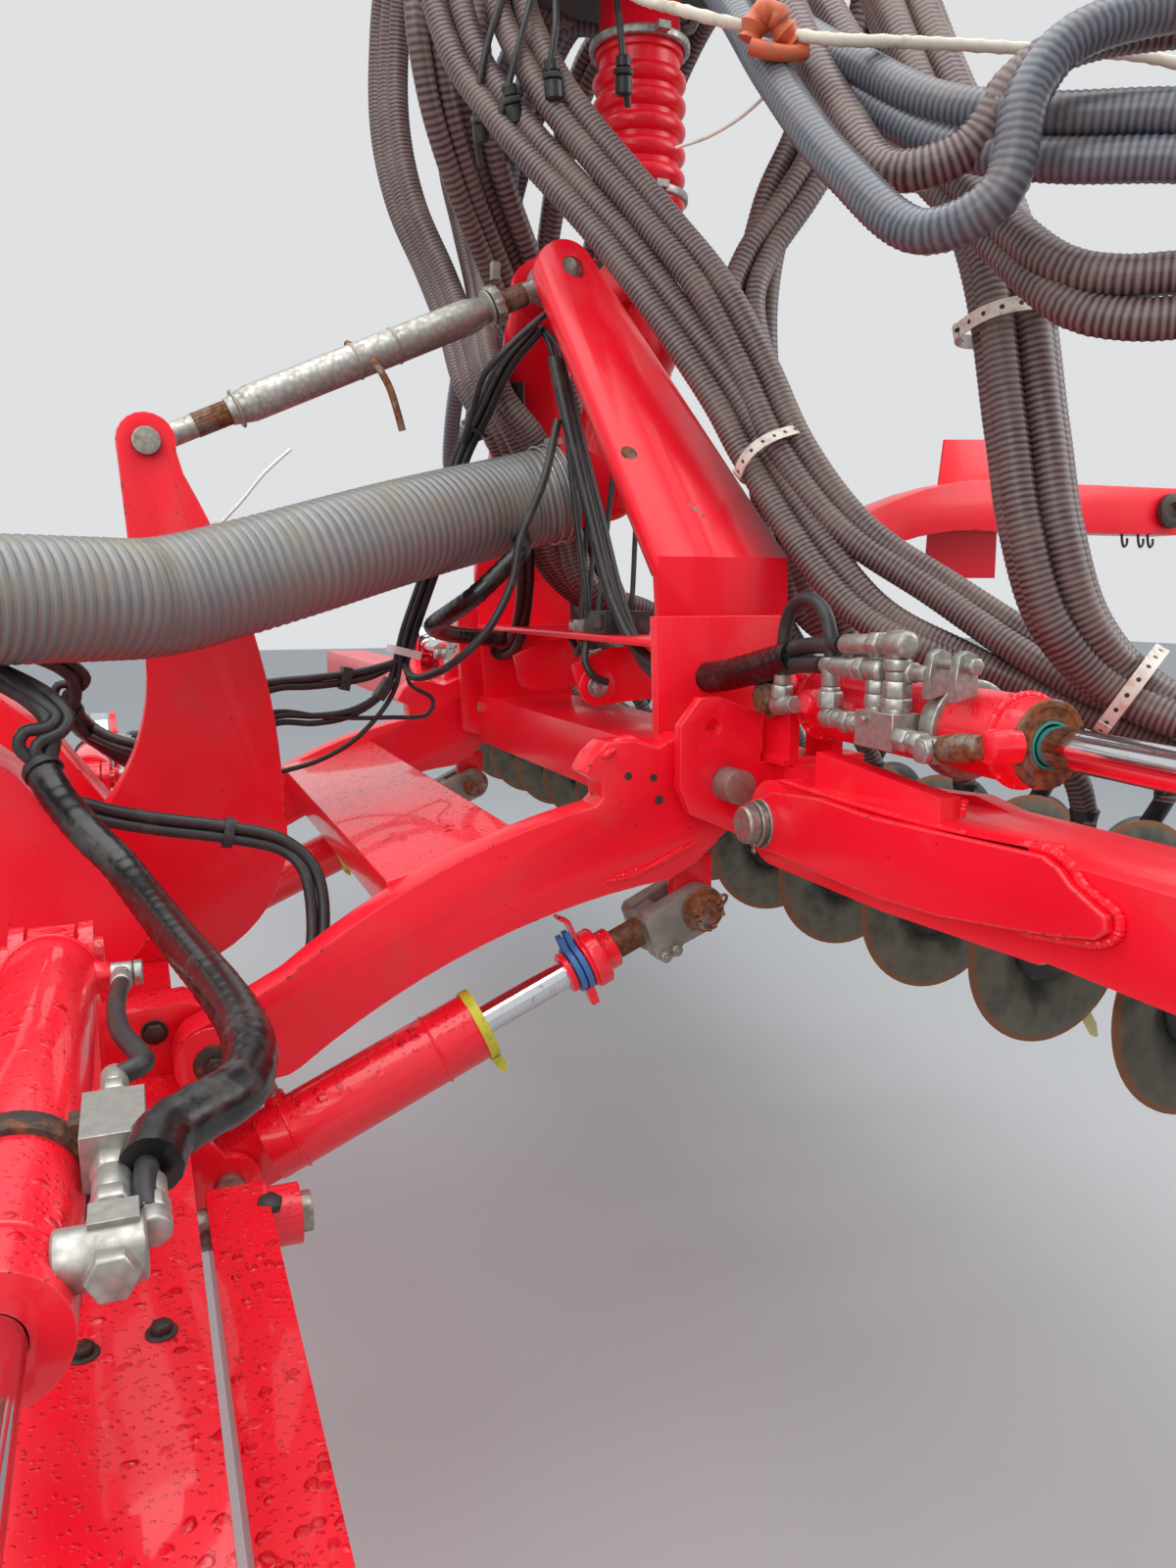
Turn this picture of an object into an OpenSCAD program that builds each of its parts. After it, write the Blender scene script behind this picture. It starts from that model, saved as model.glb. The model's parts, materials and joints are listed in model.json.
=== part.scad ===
// Folding coulter bar of a seed drill with its three-point lift linkage.
// +X points to the rear, +Y to the machine's right, +Z up.
// The origin is the centre of the bolted front flange.

/* [Linkage] */
// Distance from the front flange to the lower arms' front pins
arm_pivot_x = 670; // [650:5:700]
// Length of every link along the machine, from its front pin to its rear pin
link_run = 730; // [710:5:750]
// Height of every rear pin above its front pin, with the bar raised
link_rise = 325; // [310:5:340]
// Height of the mast pin above the lower arms' front pins
mast_height = 845; // [830:5:870]
// How far the mast pin stands in front of the lower arms' front pins
mast_setback = 25; // [15:5:35]
// Half the distance between the middles of the lower arms
arm_y = 615; // [600:5:630]
// Thickness of a lower arm
arm_t = 60; // [50:2:64]
// Diameter of the lower arms' front pins
arm_pin_d = 50; // [44:2:56]
// Diameter of the lower hitch pins
hook_pin_d = 50; // [44:2:54]
// Diameter of the mast pin and the tower pin
top_pin_d = 45; // [40:1:48]
// Play of a pin in its hole, on the radius
pin_play = 0.1; // [0.05:0.01:0.1]

/* [Lift cylinders] */
// Drop of the cylinders' front pins below the arm pins
lift_base_drop = 170; // [165:1:180]
// Distance of the cylinders' front pins behind the arm pins
lift_base_back = 10; // [5:1:15]
// Drop of the cylinders' rear pins below the hitch pins
lift_end_drop = 190; // [185:1:200]
// Distance of the cylinders' rear pins in front of the hitch pins
lift_end_ahead = 30; // [25:1:35]
// Outer diameter of a lift cylinder's barrel
lift_barrel_d = 100; // [90:2:106]
// Distance from a lift cylinder's front pin to the end of its barrel
lift_barrel_l = 395; // [385:5:400]
// Diameter of a lift cylinder's rod
lift_rod_d = 42; // [36:2:46]
// Diameter of the lift cylinders' pins
lift_pin_d = 38; // [34:2:42]

/* [Coulter bar] */
// Distance from the middle to a wing's hinge pin
hinge_y = 800; // [790:5:820]
// Height of the wing hinges above the lower arms' front pins
hinge_z = 290; // [280:2:300]
// Diameter of the wing hinge pins
hinge_pin_d = 50; // [44:2:56]
// Distance from the middle to the end of the unfolded bar
bar_half = 3000; // [2980:10:3050]
// Depth and height of the bar's main tubes
beam_d = 160; // [150:2:166]
beam_h = 100; // [90:2:110]
// Side of the square rails that carry the coulters
rail_s = 80; // [70:2:84]

/* [Fold cylinders] */
// Outer diameter of a fold cylinder's barrel
fold_barrel_d = 100; // [90:2:106]
// Distance from a fold cylinder's inner pin to the end of its barrel
fold_barrel_l = 490; // [480:5:500]
// Diameter of a fold cylinder's rod
fold_rod_d = 45; // [40:1:50]
// Diameter of the fold cylinders' pins
fold_pin_d = 40; // [36:2:44]
// Half height of the float slot in a fold cylinder's rod end
slot_r = 62; // [60:1:64]

/* [Coulters] */
// Distance between neighbouring seed rows
row_w = 150; // [146:2:154]
// Diameter of a coulter disc
disc_d = 330; // [310:5:340]
// Thickness of a coulter disc
disc_t = 4; // [3:0.5:6]
// Distance of the front discs' axles behind the hitch pins
disc_back = 610; // [600:5:620]
// Height of the disc axles above the lower arms' front pins
disc_z = 10; // [0:2:20]
// Distance between the front and the rear discs' axles
rank_gap = 350; // [340:5:360]
// Diameter of a press wheel
press_d = 250; // [230:5:260]
// Width of a press wheel
press_w = 36; // [30:2:40]

/* [Tower and distributor] */
// Thickness of a tower leg
leg_t = 20; // [16:1:24]
// Diameter of the seed riser
riser_d = 150; // [140:2:160]
// Height of the distributor head's middle above the tower pin
head_up = 620; // [600:5:640]
// Diameter of the distributor head
head_d = 420; // [400:5:440]

/* [Front section] */
// Drop of the front wings' hinges below the arm pins
front_hinge_drop = 165; // [160:1:175]
// Distance from the middle to a front wing's hinge
front_hinge_y = 770; // [760:5:780]
// Distance from the middle to the end of the fixed front beam
front_beam_half = 1480; // [1460:5:1490]
// Distance from the middle to the end of a front wing
front_half = 2010; // [2000:10:2060]
// Diameter of the big air hose
hose_d = 178; // [170:2:186]

/* [Hidden] */
$fn = 48;
// Corner points of the linkage as [x, z]
A = [arm_pivot_x, 0];
B = A + [link_run, link_rise];
M = A + [-mast_setback, mast_height];
T = M + [link_run, link_rise];
C1 = A + [lift_base_back, -lift_base_drop];
C2 = B + [-lift_end_ahead, -lift_end_drop];
lift_a = atan2(C2[1] - C1[1], C2[0] - C1[0]);
lift_l = norm(C2 - C1);
sides = [-1, 1];
// Hitch plates stand on both sides of an arm's hook
plate_t = 20;
outer_y = arm_y + arm_t / 2 + 10 + plate_t / 2;
inner_y = arm_y - arm_t / 2 - 15 - plate_t / 2;
// Main beam of the bar: front face, middle height
beam_x = B[0];
beam_z = hinge_z + 9;
rail_x = beam_x + beam_d + 120;
rail_z = beam_z - 110;
disc_x = B[0] + disc_back;
// Fold linkage in [outward from the hinge, up from the hinge]
fold_in = [-110, 160];
fold_out = [890, 135];
fold_x = beam_x + 115;
bar_hinge = [hinge_y, hinge_z];
front_hinge = [front_hinge_y, -front_hinge_drop];
fold_eye_w = 50;
fold_ear_t = 16;
fold_lug_t = 18;
fold_pin_l = 110;
lug_off = fold_eye_w / 2 + 6 + fold_lug_t / 2;
front_in = [-70, 340];
front_out = [1140, 300];

function arc3(a, b, c, n = 12) =
    let(d = 2 * (a[0] * (b[1] - c[1]) + b[0] * (c[1] - a[1]) + c[0] * (a[1] - b[1])),
        ux = ((a * a) * (b[1] - c[1]) + (b * b) * (c[1] - a[1]) + (c * c) * (a[1] - b[1])) / d,
        uz = ((a * a) * (c[0] - b[0]) + (b * b) * (a[0] - c[0]) + (c * c) * (b[0] - a[0])) / d,
        o = [ux, uz], r = norm(a - o),
        a0 = atan2(a[1] - uz, a[0] - ux), a2 = atan2(c[1] - uz, c[0] - ux),
        cr = (b[0] - a[0]) * (c[1] - a[1]) - (b[1] - a[1]) * (c[0] - a[0]),
        s = cr > 0 ? (a2 < a0 ? a2 + 360 : a2) : (a2 > a0 ? a2 - 360 : a2))
    [for (i = [0:n]) o + r * [cos(a0 + (s - a0) * i / n), sin(a0 + (s - a0) * i / n)]];

// A plate in the X-Z plane, centred on y
module xz(y, t) {
    translate([0, y + t / 2, 0]) rotate([90, 0, 0]) linear_extrude(t) children();
}
// A plate in the Y-Z plane with its front face at x
module yz(x, t) {
    translate([x, 0, 0]) rotate([90, 0, 90]) linear_extrude(t) children();
}
// A round bar across the machine at p = [x, z], centred on y
module ybar(p, y, l, d) {
    translate([p[0], y + l / 2, p[1]]) rotate([90, 0, 0]) cylinder(d = d, h = l);
}
// A round bar along the machine at q = [y, z], from x
module xbar(x, q, l, d) {
    translate([x, q[0], q[1]]) rotate([0, 90, 0]) cylinder(d = d, h = l);
}
// A box from its low corner to its high corner
module block(a, b) {
    translate(a) cube(b - a);
}
// Children are drawn along +X from p = [x, z] and turned up by angle a in the plane of y
module along(p, y, a) {
    translate([p[0], y, p[1]]) rotate([0, -a, 0]) children();
}
// Children are drawn for the right side and set on side s
module side(s) {
    if (s > 0) children();
    else mirror([0, 1, 0]) children();
}
red_paint = "#c8141e";
black_paint = "#1c1c1e";
bare_steel = "#9a958c";
chrome = "#d8dadc";
seed_hose_brown = "#57504e";
air_hose_grey = "#8b8f90";

// Carrier
flange_w = 500;
flange_h = 400;
flange_t = 25;
flange_hole_d = 26;
flange_inset = 50;
spine_w = 300;
spine_h = 200;
spine_top = 80;
cross_x = 450;
cross_d = 180;
cross_top = -40;
cross_h = 200;
// Depth of the front hinge pins' seats in the beam
hinge_seat = 60;
rail_w = 70;
rail_in = arm_y - arm_t / 2 - 12 - rail_w;
module front_frame() {
    color(red_paint) difference() {
        union() {
            block([0, -flange_w / 2, -flange_h / 2], [flange_t, flange_w / 2, flange_h / 2]);
            block([flange_t, -spine_w / 2, spine_top - spine_h], [cross_x, spine_w / 2, spine_top]);
            block([cross_x, -front_beam_half, cross_top - cross_h],
                [cross_x + cross_d, front_beam_half, cross_top]);
            for (s = sides) side(s) {
                // Ears of the front fold cylinder's inner pin
                for (x = [-1, 1]) yz(front_cx + x * ear_off - fold_ear_t / 2, fold_ear_t) union() {
                    translate(front_hinge + front_in) circle(r = 40);
                    polygon([[front_hinge[0] + front_in[0] - 110, cross_top],
                        [front_hinge[0] + front_in[0] + 80, cross_top],
                        front_hinge + front_in + [38, 0], front_hinge + front_in - [38, 0]]);
                }
            }
        }
        for (y = [-1, 1], z = [-1, 1])
            xbar(-1, [y * (flange_w / 2 - flange_inset), z * (flange_h / 2 - flange_inset)],
                flange_t + 2, flange_hole_d);
        for (s = sides) side(s) {
            xbar(cross_x - 20, front_hinge + front_in, cross_d + 40, fold_pin_d + 2 * pin_play);
            xbar(cross_x + cross_d - hinge_seat, front_hinge, hinge_seat + 1, hinge_pin_d);
        }
    }
}
// Ears that carry the lift cylinders' front pins, and side rails with the arm pin bosses
ear_t = 16;
module side_rails() {
    color(red_paint) for (s = sides) side(s) {
        difference() {
            union() {
                xz(rail_in + rail_w / 2, rail_w) polygon([[flange_t + 60, cross_top],
                    [flange_t + 60, 30], [480, 45], [640, 58], [A[0] + 45, 30],
                    [A[0] + 45, -30], [cross_x + cross_d, cross_top]]);
                for (y = [-1, 1]) xz(arm_y + y * (lift_eye_w / 2 + 4 + ear_t / 2), ear_t)
                    union() {
                        polygon([[cross_x + cross_d, cross_top - 30], [C1[0] - 5, C1[1] + 45],
                            [C1[0] - 5, C1[1] - 45], [cross_x + cross_d, cross_top - cross_h + 10]]);
                        translate(C1) circle(r = 42);
                    }
            }
            ybar(A, rail_in + rail_w / 2, rail_w + 2, arm_pin_d + 2 * pin_play);
            ybar(C1, arm_y, 200, lift_pin_d + 2 * pin_play);
        }
    }
}
lift_eye_w = 60;
module front_pins() {
    color(bare_steel) for (s = sides) side(s) {
        ybar(A, (rail_in + arm_y + arm_t / 2 + 4) / 2, arm_y + arm_t / 2 + 4 - rail_in, arm_pin_d);
        ybar(A, arm_y + arm_t / 2 + 8, 8, arm_pin_d + 20);
        ybar(C1, arm_y, lift_eye_w + 2 * ear_t + 30, lift_pin_d);
        xbar(cross_x + cross_d - hinge_seat, front_hinge, hinge_seat + bar_d + boss_l + 30, hinge_pin_d);
    }
}
module neck_struts() {
    color(red_paint) for (s = sides) side(s)
        xz(300, 160) polygon([[flange_t + 75, cross_top], [flange_t + 75, 430], [300, 470],
            [440, 350], [610, 105], [530, 15], [cross_x + 30, cross_top]]);
}
mast_gap = 64;
mast_t = 22;
module mast_outline() {
    polygon(concat(
        arc3([M[0] - 46, M[1] - 12], [M[0], M[1] + 48], [M[0] + 46, M[1] - 12], 12),
        arc3([M[0] + 56, M[1] - 50], [M[0] + 165, 500], [M[0] + 195, 260], 14),
        arc3([M[0] + 195, 220], [M[0] + 160, 40], [M[0] + 70, cross_top], 10),
        [[M[0] - 160, cross_top]],
        arc3([M[0] - 110, 225], [M[0] - 38, 360], [M[0] - 30, 560], 10)));
}
module mast() {
    color(red_paint) difference() {
        union() {
            for (s = sides) xz(s * (mast_gap + mast_t) / 2, mast_t) mast_outline();
            intersection() {
                xz(0, mast_gap + 2) mast_outline();
                block([M[0] - 200, -mast_gap / 2, cross_top], [M[0] + 250, mast_gap / 2, M[1] - 330]);
            }
        }
        ybar(M, 0, 300, top_pin_d + 2 * pin_play);
    }
}
module mast_pin() {
    color(bare_steel) ybar(M, -4, mast_gap + 2 * mast_t + 34, top_pin_d);
}

// Lower arms: a curved box from the front eye to the cast hook at the rear, with a lug for the cylinder
lug_t = 26;
lug_play = 8;
module arm_outline() {
    polygon(concat(
        arc3(A + [-30, 40], A + [-50, 0], A + [-30, -40], 8),
        [A + [40, -44], A + [95, -36]],
        arc3(A + [110, -28], A + [380, 118], B + [-75, -144], 12),
        [B + [-30, -120]],
        arc3(B + [30, -66], B + [72, 0], B + [20, 68], 8),
        // The latch claw on top of the hook
        [B + [-60, 70], B + [-98, 54], B + [-134, 65], B + [-176, 65], B + [-197, 47], B + [-212, 22],
            B + [-186, 7], B + [-184, -16]],
        arc3(B + [-194, -26], A + [330, 235], A + [95, 98], 12),
        [A + [50, 75]]));
}
module arm() {
    color(red_paint) difference() {
        union() {
            xz(arm_y, arm_t) arm_outline();
            xz(arm_y, lug_t) polygon([C2 + [-32, 75], C2 + [-32, 0], C2 + [0, -34], C2 + [32, 0],
                C2 + [32, 75]]);
            xz(arm_y, lug_t) translate(C2) circle(r = 34);
        }
        ybar(A, arm_y, arm_t + 2, arm_pin_d + 2 * pin_play);
        ybar(B, arm_y, arm_t + 2, ball_d + 2 * pin_play);
        ybar(C2, arm_y, lug_t + 2, lift_pin_d + 2 * lug_play);
    }
}
module lower_arm_left() { side(-1) arm(); }
module lower_arm_right() { side(1) arm(); }
tie_w = 210;
tie_h = 84;
tie_a = 14.5;
tie_wall = 10;
tie_half = arm_y - arm_t / 2;
module arm_cross_tube() {
    color(red_paint) along(A + [355, 188], 0, tie_a) difference() {
        cube([tie_w, 2 * tie_half, tie_h], center = true);
        cube([tie_w - 2 * tie_wall, 2 * tie_half + 2, tie_h - 2 * tie_wall], center = true);
    }
}

// Top link: a turnbuckle between two eyes
top_l = norm(T - M);
top_a = atan2(link_rise, link_run);
link_tube_d = 62;
link_thread_d = 40;
link_eye_r = 42;
link_eye_w = 51;
link_neck_d = 46;
// A cone along +X from x
module xcone(x, l, d1, d2) {
    translate([x, 0, 0]) rotate([0, 90, 0]) cylinder(d1 = d1, d2 = d2, h = l);
}
module top_link() {
    color(bare_steel) along(M, 0, top_a) difference() {
        union() {
            for (x = [0, top_l]) ybar([x, 0], 0, link_eye_w, 2 * link_eye_r);
            xbar(30, [0, 0], top_l - 60, link_thread_d);
            xcone(150, 40, link_neck_d, link_tube_d);
            xbar(190, [0, 0], top_l - 370, link_tube_d);
            xcone(top_l - 180, 40, link_tube_d, link_neck_d);
            translate([top_l - 132, 0, 0]) rotate([0, 90, 0]) cylinder(d = 74, h = 18, $fn = 6);
        }
        for (x = [0, top_l]) ybar([x, 0], 0, 2 * link_eye_w, top_pin_d + 2 * pin_play);
    }
}

// Centre of the coulter bar: the main beam stands behind the hooks, the front box between them
main_x = beam_x + 80;
main_d = 120;
main_h = 110;
box_half = inner_y - plate_t / 2;
box_d = 100;
lug_x = beam_x + 70;
hinge_lug_t = 50;
front_fork_t = 60;
rear_fork_t = 25;
hinge_r = 52;
main_half = hinge_y - 75;
ear_off = fold_eye_w / 2 + 4 + fold_ear_t / 2;
module main_beam() {
    block([main_x, -main_half, beam_z - main_h / 2], [main_x + main_d, main_half, beam_z + main_h / 2]);
    block([main_x - box_d, -box_half, beam_z - main_h / 2], [main_x, box_half, beam_z + main_h / 2]);
}
module centre_frame() {
    color(red_paint) difference() {
        union() {
            main_beam();
            for (s = sides) side(s) {
                // Hinge lug between the wing's fork plates
                yz(lug_x, hinge_lug_t) union() {
                    translate(bar_hinge) circle(r = hinge_r);
                    polygon([[main_half - 10, beam_z - main_h / 2], [main_half - 10, beam_z + main_h / 2],
                        bar_hinge + [0, hinge_r], bar_hinge - [0, hinge_r]]);
                }
                // Seat and ears of the fold cylinder's inner pin
                block([main_x - 18, main_half - 73, beam_z + main_h / 2],
                    [main_x + main_d, main_half, beam_z + main_h / 2 + 12]);
                for (x = [-1, 1]) yz(fold_x + x * ear_off - fold_ear_t / 2, fold_ear_t) union() {
                    translate(bar_hinge + fold_in) circle(r = 40);
                    polygon([bar_hinge + fold_in + [-38, -90], bar_hinge + fold_in + [38, -90],
                        bar_hinge + fold_in + [38, 0], bar_hinge + fold_in - [38, 0]]);
                }
            }
            // Rail for the coulters and its brackets
            block([rail_x, -hinge_y + 60, rail_z - rail_s / 2],
                [rail_x + rail_s, hinge_y - 60, rail_z + rail_s / 2]);
            for (y = [-600, -130, 130, 600])
                rail_bracket(main_x + main_d, y);
        }
        for (s = sides) side(s) {
            xbar(beam_x, bar_hinge, main_x + main_d - beam_x - 20, hinge_pin_d + 2 * pin_play);
            xbar(beam_x, bar_hinge + fold_in, 300, fold_pin_d + 2 * pin_play);
        }
    }
}
// A plate that holds the rail behind a beam whose rear face is at x
module rail_bracket(x, y) {
    xz(y, 20) polygon([[x, beam_z + 40], [rail_x, rail_z + rail_s / 2 + 25],
        [rail_x + rail_s, rail_z + rail_s / 2 + 25], [rail_x + rail_s, rail_z + rail_s / 2],
        [rail_x, rail_z + rail_s / 2], [rail_x, rail_z - rail_s / 2], [x, beam_z - 50]]);
}
module hitch_plates() {
    color(red_paint) difference() {
        for (s = sides) side(s) {
            xz(outer_y, plate_t) polygon([B + [-77, -2], B + [-77, 87], B + [-46, 126], B + [-15, 127],
                B + [55, 100], B + [55, 29], [main_x, beam_z + main_h / 2], [main_x, beam_z - main_h / 2],
                B + [64, -97], B + [-59, -43]]);
            xz(inner_y, plate_t) polygon([B + [-60, -55], B + [-70, 240], B + [150, 240],
                [main_x + 70, beam_z + main_h / 2], [main_x, beam_z + main_h / 2],
                [main_x, beam_z - main_h / 2], B + [40, -81]]);
        }
        main_beam();
        for (s = sides) side(s) {
            ybar(B, arm_y, 300, hook_pin_d + 2 * pin_play);
            ybar(B + [-25, 84], outer_y, 60, 26);
        }
    }
}
ball_d = 84;
module hitch_pins() {
    color(bare_steel) for (s = sides) side(s) {
        ybar(B, (box_half + outer_y + 50) / 2, outer_y + 50 - box_half, hook_pin_d);
        ybar(B, arm_y, arm_t, ball_d);
    }
}
// Tower: two tapered legs that lean together towards the top link, and two straps back to the riser
top_half = 45;
leg_y = inner_y - 60;
leg_x0 = B[0] - 40;
leg_x1 = B[0] + 190;
knee_z = B[1] + 330;
knee_h = 30;
module tower_leg() {
    hull() {
        xz(top_half + leg_t / 2 + 10, leg_t) translate(T) circle(r = 58);
        xz(leg_y, leg_t) polygon([[leg_x0, knee_z], [leg_x1, knee_z], [leg_x1, knee_z - knee_h],
            [leg_x0, knee_z - knee_h]]);
    }
    xz(leg_y, leg_t) polygon([[main_x - box_d, beam_z + main_h / 2], [leg_x0, knee_z], [leg_x1, knee_z],
        [main_x + main_d, beam_z + main_h / 2]]);
    xz(top_half + leg_t / 2 + 10, leg_t) polygon([T + [20, -50], T + [20, 30], T + [200, 30],
        T + [200, -30]]);
}
module tower() {
    color(red_paint) difference() {
        for (s = sides) side(s) tower_leg();
        block([T[0] - 200, -top_half, T[1] - 200], [T[0] + 300, top_half, T[1] + 100]);
        translate([riser_x, 0, T[1] - 60]) cylinder(d = riser_d, h = 120);
        ybar(T, 0, 400, top_pin_d + 2 * pin_play);
    }
}
module tower_pin() {
    color(bare_steel) ybar(T, 0, 2 * top_half + 2 * leg_t + 70, top_pin_d);
}
arch_s = 90;
module rear_arch() {
    color(red_paint) xz(0, arch_s) polygon(concat(
        [[main_x + main_d, beam_z + 45], [main_x + main_d, beam_z - 40]],
        arc3([1700, 290], [2029, 658], [2330, 735], 12),
        [[2950, 735], [2950, 843]],
        arc3([2330, 843], [1966, 714], [1640, 372], 12)));
}

// Seed riser from the hose socket up to the distributor head
inlet = [T[0] + 105, T[1] - 355];
collar = [83, 22];
riser_x = T[0] + 175;
head_z = T[1] + head_up;
bellows_n = 6;
bellows_step = 42;
bellows_z = T[1] + 155;
module seed_riser() {
    color(red_paint) {
        rotate_pipe(inlet - collar, inlet, riser_d);
        translate([inlet[0], 0, inlet[1]]) sphere(d = riser_d + 6);
        rotate_pipe(inlet, [riser_x, T[1] - 110], riser_d);
        translate([riser_x, 0, T[1] - 110]) sphere(d = riser_d + 6);
        translate([riser_x, 0, T[1] - 110]) cylinder(d = riser_d, h = head_z - T[1] + 50);
        // Clamped bellows in the upright pipe
        for (i = [0:bellows_n - 1]) translate([riser_x, 0, bellows_z + i * bellows_step]) rotate_extrude()
            translate([riser_d / 2 - 4, 0]) circle(d = bellows_step - 8);
        for (z = [bellows_z - 60, bellows_z + bellows_n * bellows_step])
            translate([riser_x, 0, z]) cylinder(d = riser_d + 14, h = 22);
    }
}
module rotate_pipe(p, q, d) {
    translate([p[0], 0, p[1]]) rotate([0, 90 - atan2(q[1] - p[1], q[0] - p[0]), 0])
        cylinder(d = d, h = norm(q - p));
}
outlet_l = 70;
outlet_r = head_d / 2 - 20 + outlet_l;
// Heights of the two tiers of outlets above the head's floor
tiers = [38, 100];
module distributor_head() {
    color(black_paint) translate([riser_x, 0, head_z - 60]) {
        cylinder(d = head_d, h = 140);
        translate([0, 0, 140]) cylinder(d1 = head_d - 40, d2 = 120, h = 60);
        for (i = [0:19], h = tiers) rotate([0, 0, 9 + i * 18]) translate([head_d / 2 - 20, 0, h])
            rotate([0, 90, 0]) cylinder(d = 44, h = outlet_l);
    }
}
shelf_half = leg_y - leg_t / 2;
shelf_z = B[1] + 190;
module terminal_shelf() {
    color(red_paint) block([leg_x0, -shelf_half, shelf_z], [B[0] + 150, shelf_half, shelf_z + 12]);
}

// Coulters: front rank at every second row, rear rank between
press_back = 300;
press_drop = 25;
axle_d = 24;
arm_side = 22;
coulter_t = 30;
hub_d = 110;
module coulter_arm(y, x) {
    xz(y, coulter_t) difference() {
        union() {
            polygon([[rail_x - 20, rail_z + rail_s / 2 + 12], [rail_x - 20, rail_z + rail_s / 2],
                [rail_x + rail_s, rail_z + rail_s / 2], [rail_x + rail_s, rail_z - 30],
                [x - 40, disc_z + 34], [x - 30, disc_z - 30], [x + 10, disc_z - 34],
                [x + press_back, disc_z - press_drop - 18], [x + press_back, disc_z - press_drop + 18],
                [x + 30, disc_z + 30], [rail_x + rail_s + 25, rail_z + rail_s / 2 + 12]]);
            translate([x, disc_z]) circle(r = 46);
            translate([x + press_back, disc_z - press_drop]) circle(r = 26);
        }
        translate([x, disc_z]) circle(d = axle_d + 2 * pin_play);
        translate([x + press_back, disc_z - press_drop]) circle(d = axle_d + 2 * pin_play);
    }
}
// Every front row lies half a step to the left of the middle, every rear row half a step to the right
row_n = floor((bar_half + row_w / 2) / (2 * row_w));
function rank(f) = [for (k = [-row_n:row_n - 1]) (f ? -1 : 1) * (row_w / 2 + 2 * row_w * k)];
function in_part(y, part) = part == 0 ? abs(y) < hinge_y - 20 : part * y > hinge_y - 20;
function rows(f, part) = [for (y = rank(f)) if (in_part(y, part)) y];
function disc_at(f) = disc_x + (f ? 0 : rank_gap);
module coulters(part) {
    color(black_paint) for (f = [true, false], y = rows(f, part)) coulter_arm(y + arm_side, disc_at(f));
}
module centre_coulters() { coulters(0); }
module wing_coulters_left() { coulters(-1); }
module wing_coulters_right() { coulters(1); }
// Each disc has its hub towards the arm and an axle through the arm
hub_l = arm_side - coulter_t / 2 - disc_t / 2 - 0.3;
disc_axle_l = arm_side + coulter_t / 2 + 12;
module discs(f, part) {
    p = [disc_at(f), disc_z];
    color(bare_steel) for (y = rows(f, part)) {
        ybar(p, y, disc_t, disc_d);
        ybar(p, y + disc_t / 2 + hub_l / 2, hub_l, hub_d);
        ybar(p, y + disc_axle_l / 2, disc_axle_l, axle_d);
    }
}
press_side = 24;
press_axle_l = press_side + arm_side + coulter_t / 2 + 4;
module press(f, part) {
    p = [disc_at(f) + press_back, disc_z - press_drop];
    color(black_paint) for (y = rows(f, part)) {
        ybar(p, y - press_side, press_w, press_d);
        ybar(p, y - press_side + press_axle_l / 2, press_axle_l, axle_d);
    }
}

// Lift cylinders: drawn along +X from the front pin
lift_neck = 60;
lift_cap = 30;
rod_in = 160;
end_x = 515;
clevis_t = 30;
clevis_r = 34;
clevis_y = lug_t / 2 + 3;
module lift_barrel() {
    color(red_paint) along(C1, arm_y, lift_a) difference() {
        union() {
            ybar([0, 0], 0, lift_eye_w, 80);
            block([0, -lift_eye_w / 2, -38], [lift_neck + 10, lift_eye_w / 2, 38]);
            xbar(lift_neck, [0, 0], lift_barrel_l - lift_neck, lift_barrel_d);
        }
        ybar([0, 0], 0, 200, lift_pin_d + 2 * pin_play);
        xbar(lift_neck + lift_cap, [0, 0], lift_barrel_l - lift_neck - lift_cap - 20, lift_barrel_d - 20);
        xbar(lift_neck + lift_cap, [0, 0], lift_barrel_l, lift_rod_d + 2 * pin_play);
    }
}
module lift_rod() {
    color(chrome) along(C1, arm_y, lift_a) {
        xbar(lift_barrel_l - rod_in, [0, 0], lift_l - lift_barrel_l + rod_in - 50, lift_rod_d);
        // Clamped end of the rod, then the clevis around the arm's lug
        xbar(end_x, [0, 0], 90, 88);
        block([lift_l - 90, -clevis_y - clevis_t, -clevis_r], [lift_l - 52, clevis_y + clevis_t, clevis_r]);
        for (s = sides) side(s) {
            block([lift_l - 60, clevis_y, -clevis_r], [lift_l, clevis_y + clevis_t, clevis_r]);
            ybar([lift_l, 0], clevis_y + clevis_t / 2, clevis_t, 2 * clevis_r);
        }
        ybar([lift_l, 0], 0, 140, lift_pin_d);
    }
}
module lift_barrel_left() { side(-1) lift_barrel(); }
module lift_barrel_right() { side(1) lift_barrel(); }
module lift_rod_left() { side(-1) lift_rod(); }
module lift_rod_right() { side(1) lift_rod(); }

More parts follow.
